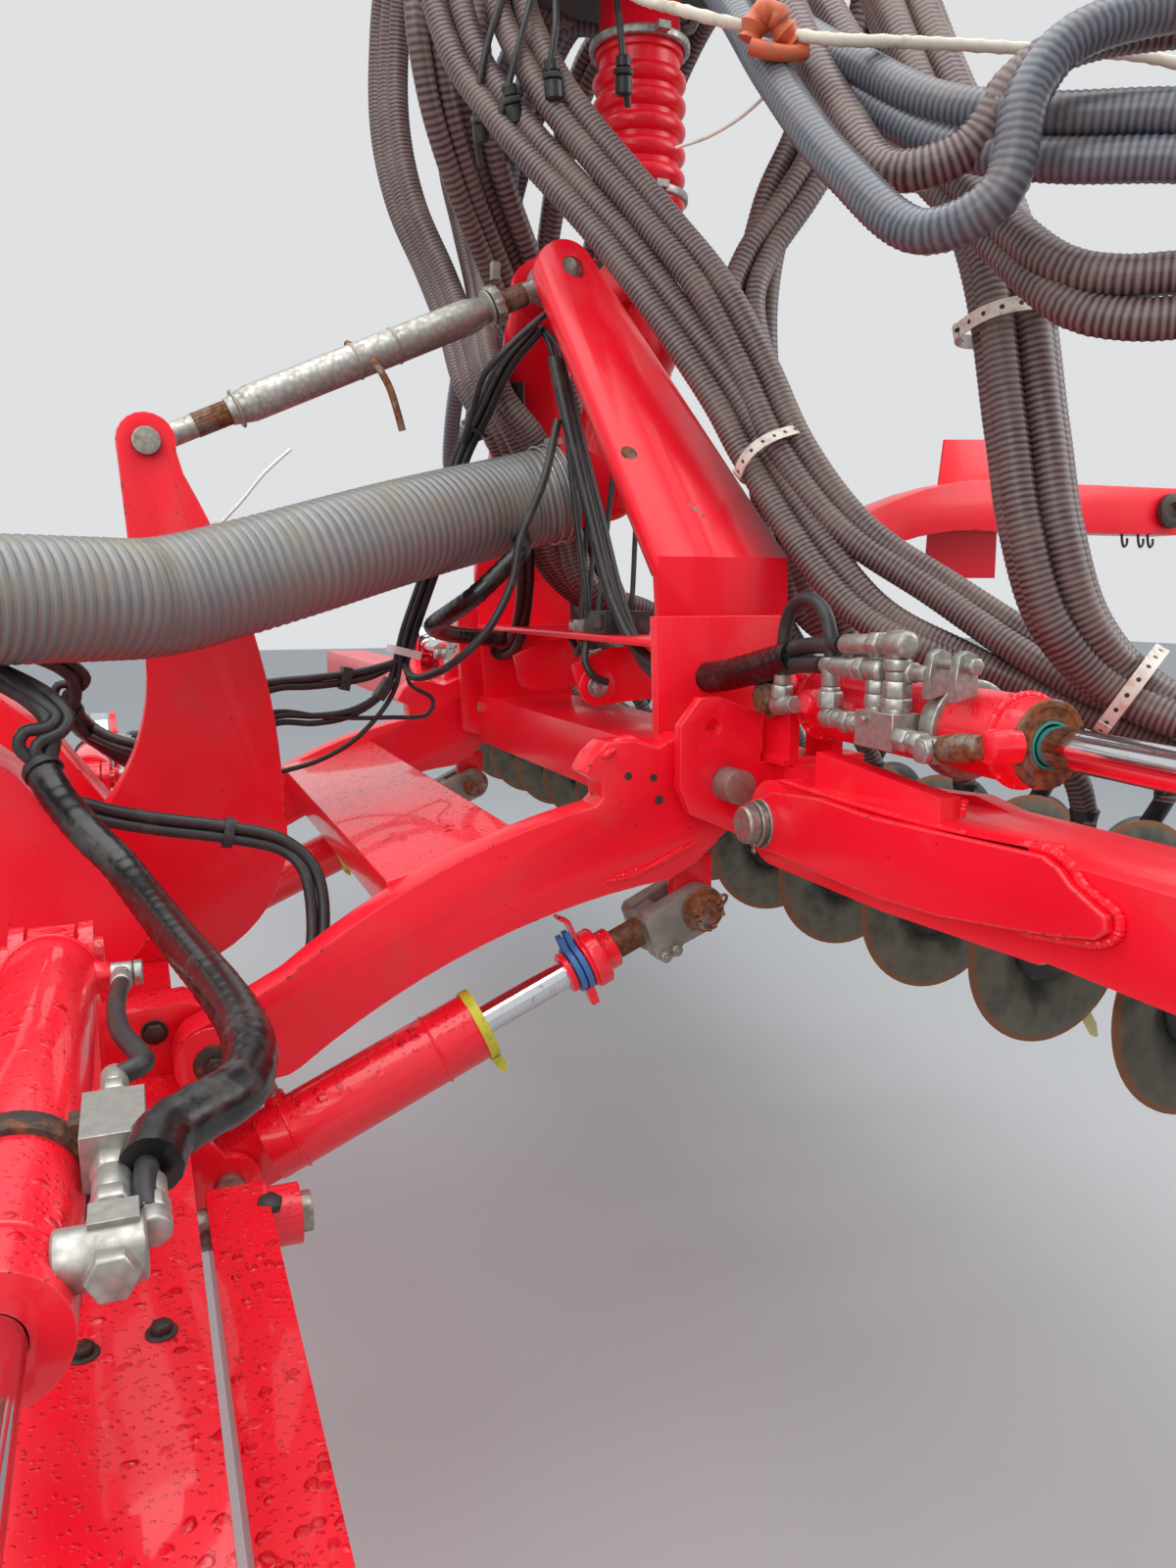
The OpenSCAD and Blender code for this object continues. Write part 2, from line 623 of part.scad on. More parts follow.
// Wing of the coulter bar on the right side
wing_start = hinge_y + 75;
notch_l = 260;
notch_h = 50;
module fork_outline() {
    translate(bar_hinge) circle(r = hinge_r + 6);
    translate(bar_hinge) polygon([[0, hinge_r + 6], [32, 52], [248, 69], [433, 39], [578, 12], [556, -8],
        [509, -46], [257, -58], [0, -hinge_r - 6]]);
}
beam_top = beam_z + beam_h / 2;
bracket_gap = 600;
module wing() {
    color(red_paint) union() {
        difference() {
            block([beam_x, wing_start, beam_top - beam_h], [beam_x + beam_d, bar_half, beam_top]);
            // Cut-out under the rod end, which floats between the lugs
            translate([fold_x, hinge_y + fold_out[0], beam_top]) cube([fold_eye_w + 10, notch_l,
                2 * notch_h], center = true);
        }
        yz(beam_x, front_fork_t) fork_outline();
        yz(beam_x + beam_d - rear_fork_t, rear_fork_t) fork_outline();
        // Raised stop plate beside the cylinder
        yz(beam_x + 30, 28) translate([hinge_y, beam_z]) polygon([[60, 0], [60, 95], [314, 75],
            [314, 0]]);
        // Lugs of the fold cylinder's outer pin
        for (x = [-1, 1]) yz(fold_x + x * lug_off - fold_lug_t / 2, fold_lug_t) {
            translate(bar_hinge + fold_out) circle(r = slot_r + 20);
            polygon([[hinge_y + fold_out[0] - 110, beam_top - 1],
                bar_hinge + fold_out - [slot_r + 15, 0], bar_hinge + fold_out + [slot_r + 15, 0],
                [hinge_y + fold_out[0] + 110, beam_top - 1]]);
        }
        xbar(fold_x - fold_pin_l / 2, bar_hinge + fold_out, fold_pin_l, fold_pin_d);
        block([rail_x, hinge_y - 25, rail_z - rail_s / 2],
            [rail_x + rail_s, bar_half - 20, rail_z + rail_s / 2]);
        for (y = [hinge_y + 100:bracket_gap:bar_half - 200])
            rail_bracket(beam_x + beam_d, y);
        xbar(beam_x - 14, bar_hinge, beam_d + 24, hinge_pin_d);
    }
}
module wing_left() { side(-1) wing(); }
module wing_right() { side(1) wing(); }

// Fold cylinders: drawn along +Y from the inner pin p to the outer pin q, both [y, z] from the hinge h
fold_eye_r = 38;
fold_neck = 60;
rod_back = 60;
front_barrel_l = 730;
front_cx = cross_x + 45;
module from_pin(x, h, p, q) {
    translate([x, h[0] + p[0], h[1] + p[1]]) rotate([atan2(q[1] - p[1], q[0] - p[0]), 0, 0]) children();
}
// A round bar along +Y from y
module stick(y, l, d) {
    translate([0, y, 0]) rotate([-90, 0, 0]) cylinder(d = d, h = l);
}
module fold_barrel(x, h, p, q, l) {
    color(red_paint) from_pin(x, h, p, q) difference() {
        union() {
            xbar(-fold_eye_w / 2, [0, 0], fold_eye_w, 2 * fold_eye_r);
            block([-fold_eye_w / 2, 0, -36], [fold_eye_w / 2, fold_neck + 10, 36]);
            stick(fold_neck, l - fold_neck, fold_barrel_d);
            xbar(-fold_pin_l / 2, [0, 0], fold_pin_l, fold_pin_d);
        }
        stick(fold_neck + 30, l - fold_neck - 50, fold_barrel_d - 20);
        stick(fold_neck + 30, l, fold_rod_d + 2 * pin_play);
    }
}
module fold_rod(x, h, p, q, l) {
    d = norm(q - p);
    color(chrome) from_pin(x, h, p, q) {
        stick(l - rod_back, d - l + rod_back - slot_r - 10, fold_rod_d);
        difference() {
            xbar(-fold_eye_w / 2, [d, 0], fold_eye_w, 2 * slot_r + 32);
            xbar(-fold_eye_w / 2 - 1, [d, 0], fold_eye_w + 2, 2 * slot_r);
        }
    }
}
module bar_barrel() {
    fold_barrel(fold_x, bar_hinge, fold_in, fold_out, fold_barrel_l);
}
module bar_rod() {
    fold_rod(fold_x, bar_hinge, fold_in, fold_out, fold_barrel_l);
}
module fold_barrel_left() { side(-1) bar_barrel(); }
module fold_barrel_right() { side(1) bar_barrel(); }
module fold_rod_left() { side(-1) bar_rod(); }
module fold_rod_right() { side(1) bar_rod(); }

// Front wing on the right side: a bar behind the fixed beam, turned inwards at its end
bar_x = cross_x + cross_d + 16;
bar_d = 70;
bar_h = 90;
boss_l = 40;
foot_l = 220;
module front_wing() {
    z = front_hinge[1];
    color(red_paint) difference() {
        union() {
            yz(bar_x, bar_d) union() {
                translate(front_hinge) circle(r = bar_h / 2);
                polygon([front_hinge + [0, -bar_h / 2], front_hinge + [0, bar_h / 2],
                    [front_half, z + bar_h / 2], [front_half, z - bar_h / 2]]);
            }
            xbar(bar_x + bar_d - 1, front_hinge, boss_l + 1, hinge_pin_d + 24);
            block([cross_x - 20, front_half - foot_l, z - bar_h / 2],
                [bar_x + 1, front_half, z + bar_h / 2]);
            for (x = [-1, 1]) yz(front_cx + x * lug_off - fold_lug_t / 2, fold_lug_t) {
                translate(front_hinge + front_out) circle(r = slot_r + 20);
                polygon([[front_half - foot_l, z + bar_h / 2 - 1],
                    front_hinge + front_out - [slot_r + 15, 0],
                    front_hinge + front_out + [slot_r + 15, 0], [front_half, z + bar_h / 2 - 1]]);
            }
            xbar(front_cx - fold_pin_l / 2, front_hinge + front_out, fold_pin_l, fold_pin_d);
        }
        xbar(bar_x - 1, front_hinge, bar_d + boss_l + 2, hinge_pin_d + 2 * pin_play);
    }
}
module front_wing_left() { side(-1) front_wing(); }
module front_wing_right() { side(1) front_wing(); }
module front_barrel() {
    fold_barrel(front_cx, front_hinge, front_in, front_out, front_barrel_l);
}
module front_rod() {
    fold_rod(front_cx, front_hinge, front_in, front_out, front_barrel_l);
}
module front_barrel_left() { side(-1) front_barrel(); }
module front_barrel_right() { side(1) front_barrel(); }
module front_rod_left() { side(-1) front_rod(); }
module front_rod_right() { side(1) front_rod(); }

// Tubes swept along points
function unit(v) = v / norm(v);
// A vector carried along the tangents t from number i on, square to each of them
function carried(t, i, u) = i == len(t) ? [] :
    let(w = unit(u - t[i] * (u * t[i]))) concat([w], carried(t, i + 1, w));
module tube(pts, d, n = 8) {
    m = len(pts);
    t = [for (i = [0:m - 1]) unit(pts[min(i + 1, m - 1)] - pts[max(i - 1, 0)])];
    u = carried(t, 0, cross(t[0], abs(t[0][2]) > 0.9 ? [1, 0, 0] : [0, 0, 1]));
    rings = [for (i = [0:m - 1], j = [0:n - 1])
        pts[i] + d / 2 * (u[i] * cos(j * 360 / n) + cross(t[i], u[i]) * sin(j * 360 / n))];
    faces = concat([[for (j = [0:n - 1]) j]],
        [for (i = [0:m - 2], j = [0:n - 1])
            [i * n + j, (i + 1) * n + j, (i + 1) * n + (j + 1) % n]],
        [for (i = [0:m - 2], j = [0:n - 1])
            [i * n + j, (i + 1) * n + (j + 1) % n, i * n + (j + 1) % n]],
        [[for (j = [0:n - 1]) (m - 1) * n + n - 1 - j]]);
    polyhedron(rings, faces);
}
hose_route = [[-20, -520, 575], [150, -470, 580], [300, -420, 586], [438, -360, 590], [560, -300, 590],
    [640, -255, 592], [760, -215, 620], [883, -180, 655], [1020, -120, 695], [1150, -60, 730],
    [1290, 0, 765], [inlet[0] - collar[0] - 0.3, 0, inlet[1] - collar[1] - 0.1]];
module air_hose() {
    color(air_hose_grey) tube(hose_route, hose_d, 12);
}
// Seed hoses: routes on one side as [x, outwards, z], one or two hoses for each bundle
seed_hose_d = 42;
fold_route_a = [[1190, 130, 1770], [1140, 60, 1640], [1165, 85, 1500], [1225, 145, 1380],
    [1375, 275, 1160], [1545, 450, 810], [1640, 610, 580], [1740, 720, 500]];
fold_route_b = [[1300, 275, 1795], [1245, 150, 1700], [1235, 120, 1590], [1280, 175, 1440],
    [1425, 295, 1210], [1545, 415, 965], [1585, 475, 830], [1650, 560, 700], [1740, 660, 610],
    [1880, 880, 460]];
hanging_route = [[1640, 330, 1820], [1610, 560, 1620], [1590, 750, 1330], [1605, 925, 1010],
    [1632, 995, 675], [1665, 1020, 560], [1730, 1060, 480], [1820, 1200, 420]];
hanging_gap = [80, 30, 45];
loop_route_a = [[1400, 330, 1830], [1345, 500, 1660], [1350, 640, 1450], [1380, 810, 1285],
    [1430, 1055, 1110], [1475, 1155, 1070], [1555, 1250, 1050], [1650, 1450, 980], [1720, 1800, 720]];
loop_route_b = [[1310, 345, 1740], [1285, 560, 1540], [1320, 760, 1330], [1325, 1040, 1035],
    [1350, 1150, 948], [1388, 1208, 970], [1412, 1212, 1060], [1450, 1220, 1108], [1560, 1260, 1140],
    [1650, 1420, 1090], [1720, 1780, 850]];
loop_route_c = [[1490, 390, 1780], [1490, 850, 1210], [1510, 1010, 1050], [1530, 1140, 937],
    [1610, 1250, 912], [1680, 1450, 830], [1730, 1840, 560]];
front_route_a = [[1215, 170, 1860], [1175, 330, 1820], [1165, 395, 1680], [1165, 395, 1530],
    [1190, 375, 1390], [1240, 340, 1255], [1270, 270, 1120], [1280, 200, 1010], [1325, 165, 920],
    [1385, 205, 820], [1440, 215, 680], [1530, 230, 590], [1740, 220, 490]];
front_route_b = [[1330, 340, 1860], [1295, 400, 1680], [1285, 400, 1500], [1300, 350, 1350],
    [1310, 280, 1200], [1285, 180, 1080], [1295, 110, 980], [1355, 100, 905], [1440, 160, 770],
    [1490, 145, 620], [1640, 130, 560], [1740, 110, 490]];
back_route_a = [[1905, 190, 1740], [1860, 155, 1460], [1785, 150, 1330], [1665, 160, 1120],
    [1712, 285, 780], [1730, 340, 620], [1800, 380, 470]];
back_route_b = [[1860, 70, 1690], [1850, 80, 1500], [1770, 90, 1330], [1730, 95, 1130],
    [1760, 130, 760], [1800, 140, 560]];
// Outlet number n of one side, counted from the front, two tiers by turns
function outlet(n, r) = let(a = 171 - 18 * floor(n / 2))
    [riser_x + r * cos(a), r * sin(a), head_z - 60 + tiers[n % 2]];
// Seed tube of the row at y, on the front or rear rank by turns
function row_end(s, y) = let(f = (round((y - row_w / 2) / row_w) % 2 == 0) == (s < 0), x = disc_at(f) + 70)
    [[x - 60, y, rail_z + 110], [x, y, disc_z + 210]];
function hose(s, n, k, route, shift = [0, 0, 0]) = concat([outlet(n, outlet_r + 0.3), outlet(n, outlet_r + 30)],
    [for (p = route) p + shift], row_end(s, row_w * (k + 0.5)));
// Hoses to the rows of a folding wing from the outlets in the list
function wing_hoses(s, outs, shift) = [
    hose(s, outs[0], 5, fold_route_a), hose(s, outs[1], 8, fold_route_b),
    hose(s, outs[2], 16, loop_route_b, shift), hose(s, outs[3], 14, loop_route_a, shift),
    hose(s, outs[4], 18, loop_route_c, shift), hose(s, outs[5], 10, hanging_route, shift),
    hose(s, outs[6], 12, hanging_route, shift + hanging_gap)];
module hoses(s, list) {
    color(seed_hose_brown) for (r = list) tube([for (p = r) [p[0], s * p[1], p[2]]], seed_hose_d, 8);
}
module seed_hoses_centre() {
    hoses(1, [hose(1, 1, 2, front_route_a), hose(1, 7, 0, front_route_b)]);
    hoses(-1, [hose(-1, 15, 2, back_route_a), hose(-1, 19, 0, back_route_b)]);
}
module seed_hoses_left() { hoses(-1, wing_hoses(-1, [0, 2, 4, 7, 9, 10, 13], [0, 0, 0])); }
module seed_hoses_right() { hoses(1, wing_hoses(1, [0, 4, 10, 13, 14, 16, 19], [130, 0, 0])); }
module discs_centre_front() { discs(true, 0); }
module discs_centre_rear() { discs(false, 0); }
module discs_left_front() { discs(true, -1); }
module discs_left_rear() { discs(false, -1); }
module discs_right_front() { discs(true, 1); }
module discs_right_rear() { discs(false, 1); }
module press_centre_front() { press(true, 0); }
module press_centre_rear() { press(false, 0); }
module press_left_front() { press(true, -1); }
module press_left_rear() { press(false, -1); }
module press_right_front() { press(true, 1); }
module press_right_rear() { press(false, 1); }

front_frame();
neck_struts();
mast();
mast_pin();
side_rails();
front_pins();
lower_arm_left();
lower_arm_right();
arm_cross_tube();
top_link();
centre_frame();
hitch_plates();
hitch_pins();
tower();
tower_pin();
rear_arch();
seed_riser();
distributor_head();
terminal_shelf();
centre_coulters();
lift_barrel_left();
lift_barrel_right();
lift_rod_left();
lift_rod_right();
wing_left();
wing_right();
wing_coulters_left();
wing_coulters_right();
fold_barrel_left();
fold_barrel_right();
fold_rod_left();
fold_rod_right();
front_wing_left();
front_wing_right();
front_barrel_left();
front_barrel_right();
front_rod_left();
front_rod_right();
discs_centre_front();
discs_centre_rear();
discs_left_front();
discs_left_rear();
discs_right_front();
discs_right_rear();
press_centre_front();
press_centre_rear();
press_left_front();
press_left_rear();
press_right_front();
press_right_rear();
air_hose();
seed_hoses_centre();
seed_hoses_left();
seed_hoses_right();
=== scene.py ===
"""Looks of a seed drill's folding coulter bar with its lift linkage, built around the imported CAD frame.
Lengths are millimetres in the frame's own axes until a piece is finished: +X to the rear, +Y to the
machine's right, +Z up. A shape that exists on both sides is written for the right side, so its y values
point outwards."""

import json
import math

import bmesh
import bpy
from mathutils import Matrix, Vector
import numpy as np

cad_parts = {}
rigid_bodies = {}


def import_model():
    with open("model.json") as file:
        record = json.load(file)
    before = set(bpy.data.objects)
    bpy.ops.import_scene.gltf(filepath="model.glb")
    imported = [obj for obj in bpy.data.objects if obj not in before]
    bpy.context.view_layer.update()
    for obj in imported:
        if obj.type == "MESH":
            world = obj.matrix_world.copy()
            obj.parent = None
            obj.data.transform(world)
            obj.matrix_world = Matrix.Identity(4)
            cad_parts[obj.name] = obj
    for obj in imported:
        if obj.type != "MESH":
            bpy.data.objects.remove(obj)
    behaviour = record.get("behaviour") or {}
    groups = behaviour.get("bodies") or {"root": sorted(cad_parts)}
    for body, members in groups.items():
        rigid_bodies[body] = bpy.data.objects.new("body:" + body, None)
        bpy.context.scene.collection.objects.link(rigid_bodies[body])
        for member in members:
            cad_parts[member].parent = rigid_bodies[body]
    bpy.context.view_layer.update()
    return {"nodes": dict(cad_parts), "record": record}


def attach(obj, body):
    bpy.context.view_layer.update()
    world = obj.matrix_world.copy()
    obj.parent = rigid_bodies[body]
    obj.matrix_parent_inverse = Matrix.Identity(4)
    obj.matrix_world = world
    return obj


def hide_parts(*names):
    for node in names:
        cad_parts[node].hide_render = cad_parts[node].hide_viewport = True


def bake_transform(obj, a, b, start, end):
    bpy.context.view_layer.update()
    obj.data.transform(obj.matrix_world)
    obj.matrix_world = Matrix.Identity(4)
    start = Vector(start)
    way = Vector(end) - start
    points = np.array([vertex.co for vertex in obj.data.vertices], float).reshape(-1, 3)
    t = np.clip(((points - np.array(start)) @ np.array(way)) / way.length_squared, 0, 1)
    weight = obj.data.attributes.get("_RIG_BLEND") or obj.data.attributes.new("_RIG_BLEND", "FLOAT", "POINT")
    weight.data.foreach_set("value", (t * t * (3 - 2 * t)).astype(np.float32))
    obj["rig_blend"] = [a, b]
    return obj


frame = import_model()

bl_info = {
    "name": "Coulter bar looks",
    "version": (1, 0, 0),
    "blender": (4, 5, 0),
    "location": "View3D > Sidebar > Drill",
    "description": "Builds the visible pieces of a folding coulter bar around its CAD frame",
    "category": "Object",
}

MM = 0.001
SIDES = {"left": -1, "right": 1}

# Places in the linkage, the same as in the CAD model; LIFT_EYE is the distance between a lift cylinder's pins
MAST_PIN = Vector((645, 0, 845))
TOWER_PIN = Vector((1375, 0, 1170))
LINK_AXIS = (TOWER_PIN - MAST_PIN).normalized()
LIFT_FRONT = Vector((680, 615, -170))
LIFT_REAR = Vector((1370, 615, 135))
LIFT_REACH = LIFT_REAR - LIFT_FRONT
LIFT_EYE = 754

# How far back the fold cylinders of bar wings and front wings and the seed riser are
FOLD_X = 1515
FRONT_X = 495
RISER_X = 1550

# Coulter rows: their spacing, the two ranks of discs, and where the wings take over from the centre
ROW_SPACING = 150
ROWS_PER_SIDE = 20
RANKS = {"front": 2010, "rear": 2360}
WING_START = 780
DISC_RADIUS = 165
PRESS_BEHIND = 300
SEED_TUBE_BEHIND = 70

# Outlets of the distributor head: the first one's angle, the angle between pairs and the two heights
OUTLET_START = 171
OUTLET_STEP = 18
OUTLET_HEIGHTS = (1763, 1825)
OUTLET_RADIUS = 258
OUTLET_END = 290

# The right side's hanging hoses and loops run further back, and its ribs are wider apart, being far away
RIGHT_SHIFT = (130, 0, 0)
FAR_PITCH = 12.4

# The air hose's width, and the distance along it in metres at which its two lengths part
AIR_HOSE_WIDTH = 180
AIR_HOSE_PARTING = 1.116

# Bends of hoses and cables between two bodies: where they start and where they end
WING_BEND = ((1600, 750, 950), (1600, 1150, 400))
FOLD_BEND = ((1400, 560, 500), (1430, 700, 500))
CARRIER_BEND = ((1050, 0, 450), (840, 0, 400))

# Camera, in metres and degrees, and the floor
CAMERA_PLACE = (0.6, -2.15, 0.6)
CAMERA_DOWN = 9.4
CAMERA_RIGHT = 21.5
FOCAL_PIXELS = 1180
PICTURE_PIXELS = 1600
SENSOR_HEIGHT = 24
FLOOR_Z = -0.92
FLOOR_HALF = 30


# Shaders

class Value:
    """A socket of a material's nodes. Python's operators on it add Math nodes."""

    def __init__(self, shader, socket):
        self.shader = shader
        self.socket = socket

    def _math(self, operation, first, second=0.0):
        return self.shader.node("ShaderNodeMath", {"operation": operation}, {0: first, 1: second})

    def __add__(self, other):
        return self._math("ADD", self, other)

    def __sub__(self, other):
        return self._math("SUBTRACT", self, other)

    def __rsub__(self, other):
        return self._math("SUBTRACT", other, self)

    def __mul__(self, other):
        return self._math("MULTIPLY", self, other)

    def __truediv__(self, other):
        return self._math("DIVIDE", self, other)

    __radd__ = __add__
    __rmul__ = __mul__

    def fraction(self):
        return self._math("FRACT", self)

    def either(self, other):
        return self._math("MAXIMUM", self, other)

    def ramp(self, low, high):
        """0 below low, 1 above high, smooth between; high below low turns it round."""
        inputs = {"Value": self, "From Min": low, "From Max": high}
        if low > high:
            inputs = {"Value": self, "From Min": high, "From Max": low, "To Min": 1.0, "To Max": 0.0}
        return self.shader.node("ShaderNodeMapRange", {"interpolation_type": "SMOOTHSTEP"}, inputs)


class Shader:
    """A material that is being made."""

    def __init__(self, name):
        self.material = bpy.data.materials.new(name)
        self.material.use_nodes = True
        self.tree = self.material.node_tree
        self.tree.nodes.clear()
        self.place = self.node("ShaderNodeTexCoord", output="Object")

    def node(self, kind, settings=None, inputs=None, output=0):
        made = self.tree.nodes.new(kind)
        for key, value in (settings or {}).items():
            if key == "stops":
                for element, (position, colour) in zip(self._elements(made, len(value)), value):
                    element.position = position
                    element.color = (*colour, 1)
            else:
                setattr(made, key, value)
        sockets = {s.identifier: s for s in made.inputs}
        for key, value in (inputs or {}).items():
            socket = made.inputs[key] if isinstance(key, int) else sockets[key]
            if isinstance(value, Value):
                self.tree.links.new(value.socket, socket)
            elif value is not None:
                socket.default_value = (*value, 1) if socket.type == "RGBA" and len(value) == 3 else value
        outputs = {s.identifier: s for s in made.outputs}
        return Value(self, made.outputs[output] if isinstance(output, int) else outputs[output])

    @staticmethod
    def _elements(made, count):
        elements = made.color_ramp.elements
        while len(elements) < count:
            elements.new(1.0)
        return elements

    def noise(self, size, detail=3.0, roughness=0.55, distortion=0.0):
        """Noise with blobs of about size in metres."""
        return self.node("ShaderNodeTexNoise", {}, {
            "Vector": self.place, "Scale": 1 / size, "Detail": detail, "Roughness": roughness,
            "Distortion": distortion}, "Fac")

    def cells(self, size, warp=0.0):
        """Distance from the middle of the nearest cell, with cells of about size in metres."""
        place = self.place
        if warp:
            shift = self.node("ShaderNodeTexNoise", {}, {"Vector": place, "Scale": 1 / size, "Detail": 1.0},
                              "Color")
            shift = self.node("ShaderNodeVectorMath", {"operation": "SCALE"}, {0: shift, "Scale": warp})
            place = self.node("ShaderNodeVectorMath", {"operation": "ADD"}, {0: place, 1: shift})
        return self.node("ShaderNodeTexVoronoi", {}, {"Vector": place, "Scale": 1 / size}, "Distance")

    def attribute(self, name, output="Fac"):
        return self.node("ShaderNodeAttribute", {"attribute_name": name}, {}, output)

    def upward(self):
        """1 on faces that look up, 0 on level and downward ones."""
        normal = self.node("ShaderNodeTexCoord", output="Normal")
        return self.node("ShaderNodeSeparateXYZ", {}, {"Vector": normal}, "Z")

    def mix(self, factor, first, second):
        return self.node("ShaderNodeMix", {"data_type": "RGBA"},
                         {"Factor_Float": factor, "A_Color": first, "B_Color": second}, "Result_Color")

    def bump(self, height, distance, strength=1.0, normal=None):
        return self.node("ShaderNodeBump", {}, {"Height": height, "Distance": distance, "Strength": strength,
                                                "Normal": normal})

    def surface(self, base, roughness, metallic=0.0, normal=None, coat=0.0, coat_roughness=0.1, specular=0.5):
        surface = self.node("ShaderNodeBsdfPrincipled", {}, {
            "Base Color": base, "Roughness": roughness, "Metallic": metallic, "Normal": normal,
            "Coat Weight": coat, "Coat Roughness": coat_roughness, "Specular IOR Level": specular})
        out = self.tree.nodes.new("ShaderNodeOutputMaterial")
        self.tree.links.new(surface.socket, out.inputs["Surface"])
        return self.material


def red_paint(name, drops=False, dust=0.25):
    """Glossy red paint: faint mottling, mud specks, a painted highlight on rounded edges, chipped edges, and
    drops on top where it is wet.
    """
    shader = Shader(name)
    broad = shader.noise(0.35, 2.0)
    fine = shader.noise(0.02, 4.0)
    base = shader.mix(broad.ramp(0.3, 0.7), (0.86, 0.004, 0.018), (0.95, 0.007, 0.026))
    film = shader.noise(0.12, 5.0, 0.65).ramp(0.52, 0.78) * dust
    base = shader.mix(film, base, (0.50, 0.11, 0.08))
    speck = shader.cells(0.016, warp=0.01).ramp(0.16, 0.07) * shader.noise(0.09, 2.0).ramp(0.55, 0.68)
    base = shader.mix(speck * 0.75, base, (0.11, 0.012, 0.010))
    edge = shader.attribute("edge")
    chip = edge * shader.noise(0.012, 4.0, 0.7, distortion=0.6).ramp(0.56, 0.66)
    # Every rounded edge is mixed a little towards a lighter red: a painted highlight.
    base = shader.mix(edge * 0.22, base, (0.86, 0.10, 0.11))
    base = shader.mix(chip, base, (0.085, 0.030, 0.020))
    rough = 0.26 + fine * 0.12 + film * 0.5 + chip * 0.35
    orange_peel = shader.bump(shader.noise(0.006, 2.0), 0.00025, 0.35)
    if not drops:
        return shader.surface(base, rough, normal=orange_peel, coat=0.15, specular=0.4)
    up = shader.upward().ramp(0.35, 0.75)
    patches = shader.noise(0.07, 2.0).ramp(0.42, 0.60)
    big = shader.cells(0.021, warp=0.012).ramp(0.36, 0.20) * patches
    small = shader.cells(0.0075, warp=0.004).ramp(0.33, 0.16)
    bead = big.either(small * 0.45) * up
    base = shader.mix(bead * 0.40, base, (0.42, 0.001, 0.008))
    wet = shader.bump(bead, 0.0035, 0.9, orange_peel)
    return shader.surface(base, rough * (1.0 - bead * 0.8), normal=wet, coat=0.45, coat_roughness=0.05)


def zinc(name, stain=0.5, tone=(0.50, 0.49, 0.45)):
    """Galvanised or plated steel, mottled and stained brown where water stands."""
    shader = Shader(name)
    grain = shader.cells(0.010).ramp(0.1, 0.9)
    base = shader.mix(grain, tone, tuple(c * 0.68 for c in tone))
    dirt = shader.noise(0.022, 5.0, 0.7).ramp(0.50, 0.72) * stain
    base = shader.mix(dirt, base, (0.17, 0.105, 0.058))
    rough = 0.38 + grain * 0.14 + dirt * 0.35
    uneven = shader.bump(shader.noise(0.004, 3.0), 0.0003, 0.4)
    return shader.surface(base, rough, metallic=0.85 - dirt * 0.7, normal=uneven)


def rusty_steel(name, amount=0.55, tone=(0.33, 0.30, 0.26)):
    """Weathered bare steel with rust in patches."""
    shader = Shader(name)
    patch = shader.noise(0.035, 6.0, 0.68).ramp(0.62 - amount * 0.35, 0.80 - amount * 0.30)
    base = shader.mix(shader.noise(0.05, 3.0).ramp(0.3, 0.7), tone, tuple(c * 0.62 for c in tone))
    rust = shader.mix(shader.noise(0.010, 4.0).ramp(0.35, 0.65), (0.27, 0.085, 0.022), (0.10, 0.034, 0.015))
    base = shader.mix(patch, base, rust)
    bump = shader.bump(shader.noise(0.003, 4.0, 0.7) + patch * 0.6, 0.0006, 0.5)
    return shader.surface(base, 0.48 + patch * 0.36, metallic=0.55 - patch * 0.5, normal=bump)


def chrome(name):
    shader = Shader(name)
    streak = shader.noise(0.012, 3.0, distortion=0.4).ramp(0.55, 0.75)
    base = shader.mix(streak, (0.74, 0.75, 0.77), (0.50, 0.49, 0.48))
    return shader.surface(base, 0.10 + streak * 0.16, metallic=1.0)


def hose_rubber(name, crest, valley_tone_and_shade, dust, dusty=0.5, rough=0.5):
    """Ribbed hose: crests and hollows in two colours, and dust that lies on its upper side; a colour for the
    hollows darker than the crests is painted shade, a lighter one is the hose's own tone.
    """
    shader = Shader(name)
    rib = shader.attribute("rib").ramp(0.15, 0.85)
    # The hollows between the ribs take the second colour: painted shade where it is darker than the crests.
    base = shader.mix(rib, valley_tone_and_shade, crest)
    film = shader.noise(0.09, 4.0, 0.65).ramp(0.40, 0.70) * dusty
    film = film * (0.45 + shader.upward().ramp(-0.6, 0.7) * 0.55)
    base = shader.mix(film, base, dust)
    grain = shader.bump(shader.noise(0.004, 3.0), 0.0004, 0.4)
    return shader.surface(base, rough + film * 0.3 - rib * 0.06, normal=grain, coat=0.08)


def wrapped_rubber(name):
    """A hose in a spiral sleeve: a shallow step runs round it every turn, and a nearly black band along the
    step is painted shade in its crease.
    """
    shader = Shader(name)
    turn = shader.node("ShaderNodeMath", {"operation": "ARCTAN2"},
                       {0: shader.attribute("ring_y"), 1: shader.attribute("ring_x")}) / (2 * math.pi)
    step = (shader.attribute("along") / 0.034 + turn).fraction()
    seam = step.ramp(0.10, 0.0).either(step.ramp(0.93, 1.0))
    dirt = shader.noise(0.05, 5.0, 0.7).ramp(0.50, 0.70)
    # Nearly black along the step: painted shade in the crease.
    base = shader.mix(seam, (0.020, 0.019, 0.020), (0.004, 0.004, 0.004))
    base = shader.mix(dirt * 0.45, base, (0.10, 0.085, 0.07))
    scuff = shader.noise(0.006, 3.0).ramp(0.62, 0.72) * (1 - seam)
    base = shader.mix(scuff * 0.5, base, (0.075, 0.075, 0.078))
    bump = shader.bump(step * 0.8 - seam, 0.0022, 0.8)
    return shader.surface(base, 0.30 + dirt * 0.35, normal=bump, coat=0.15)


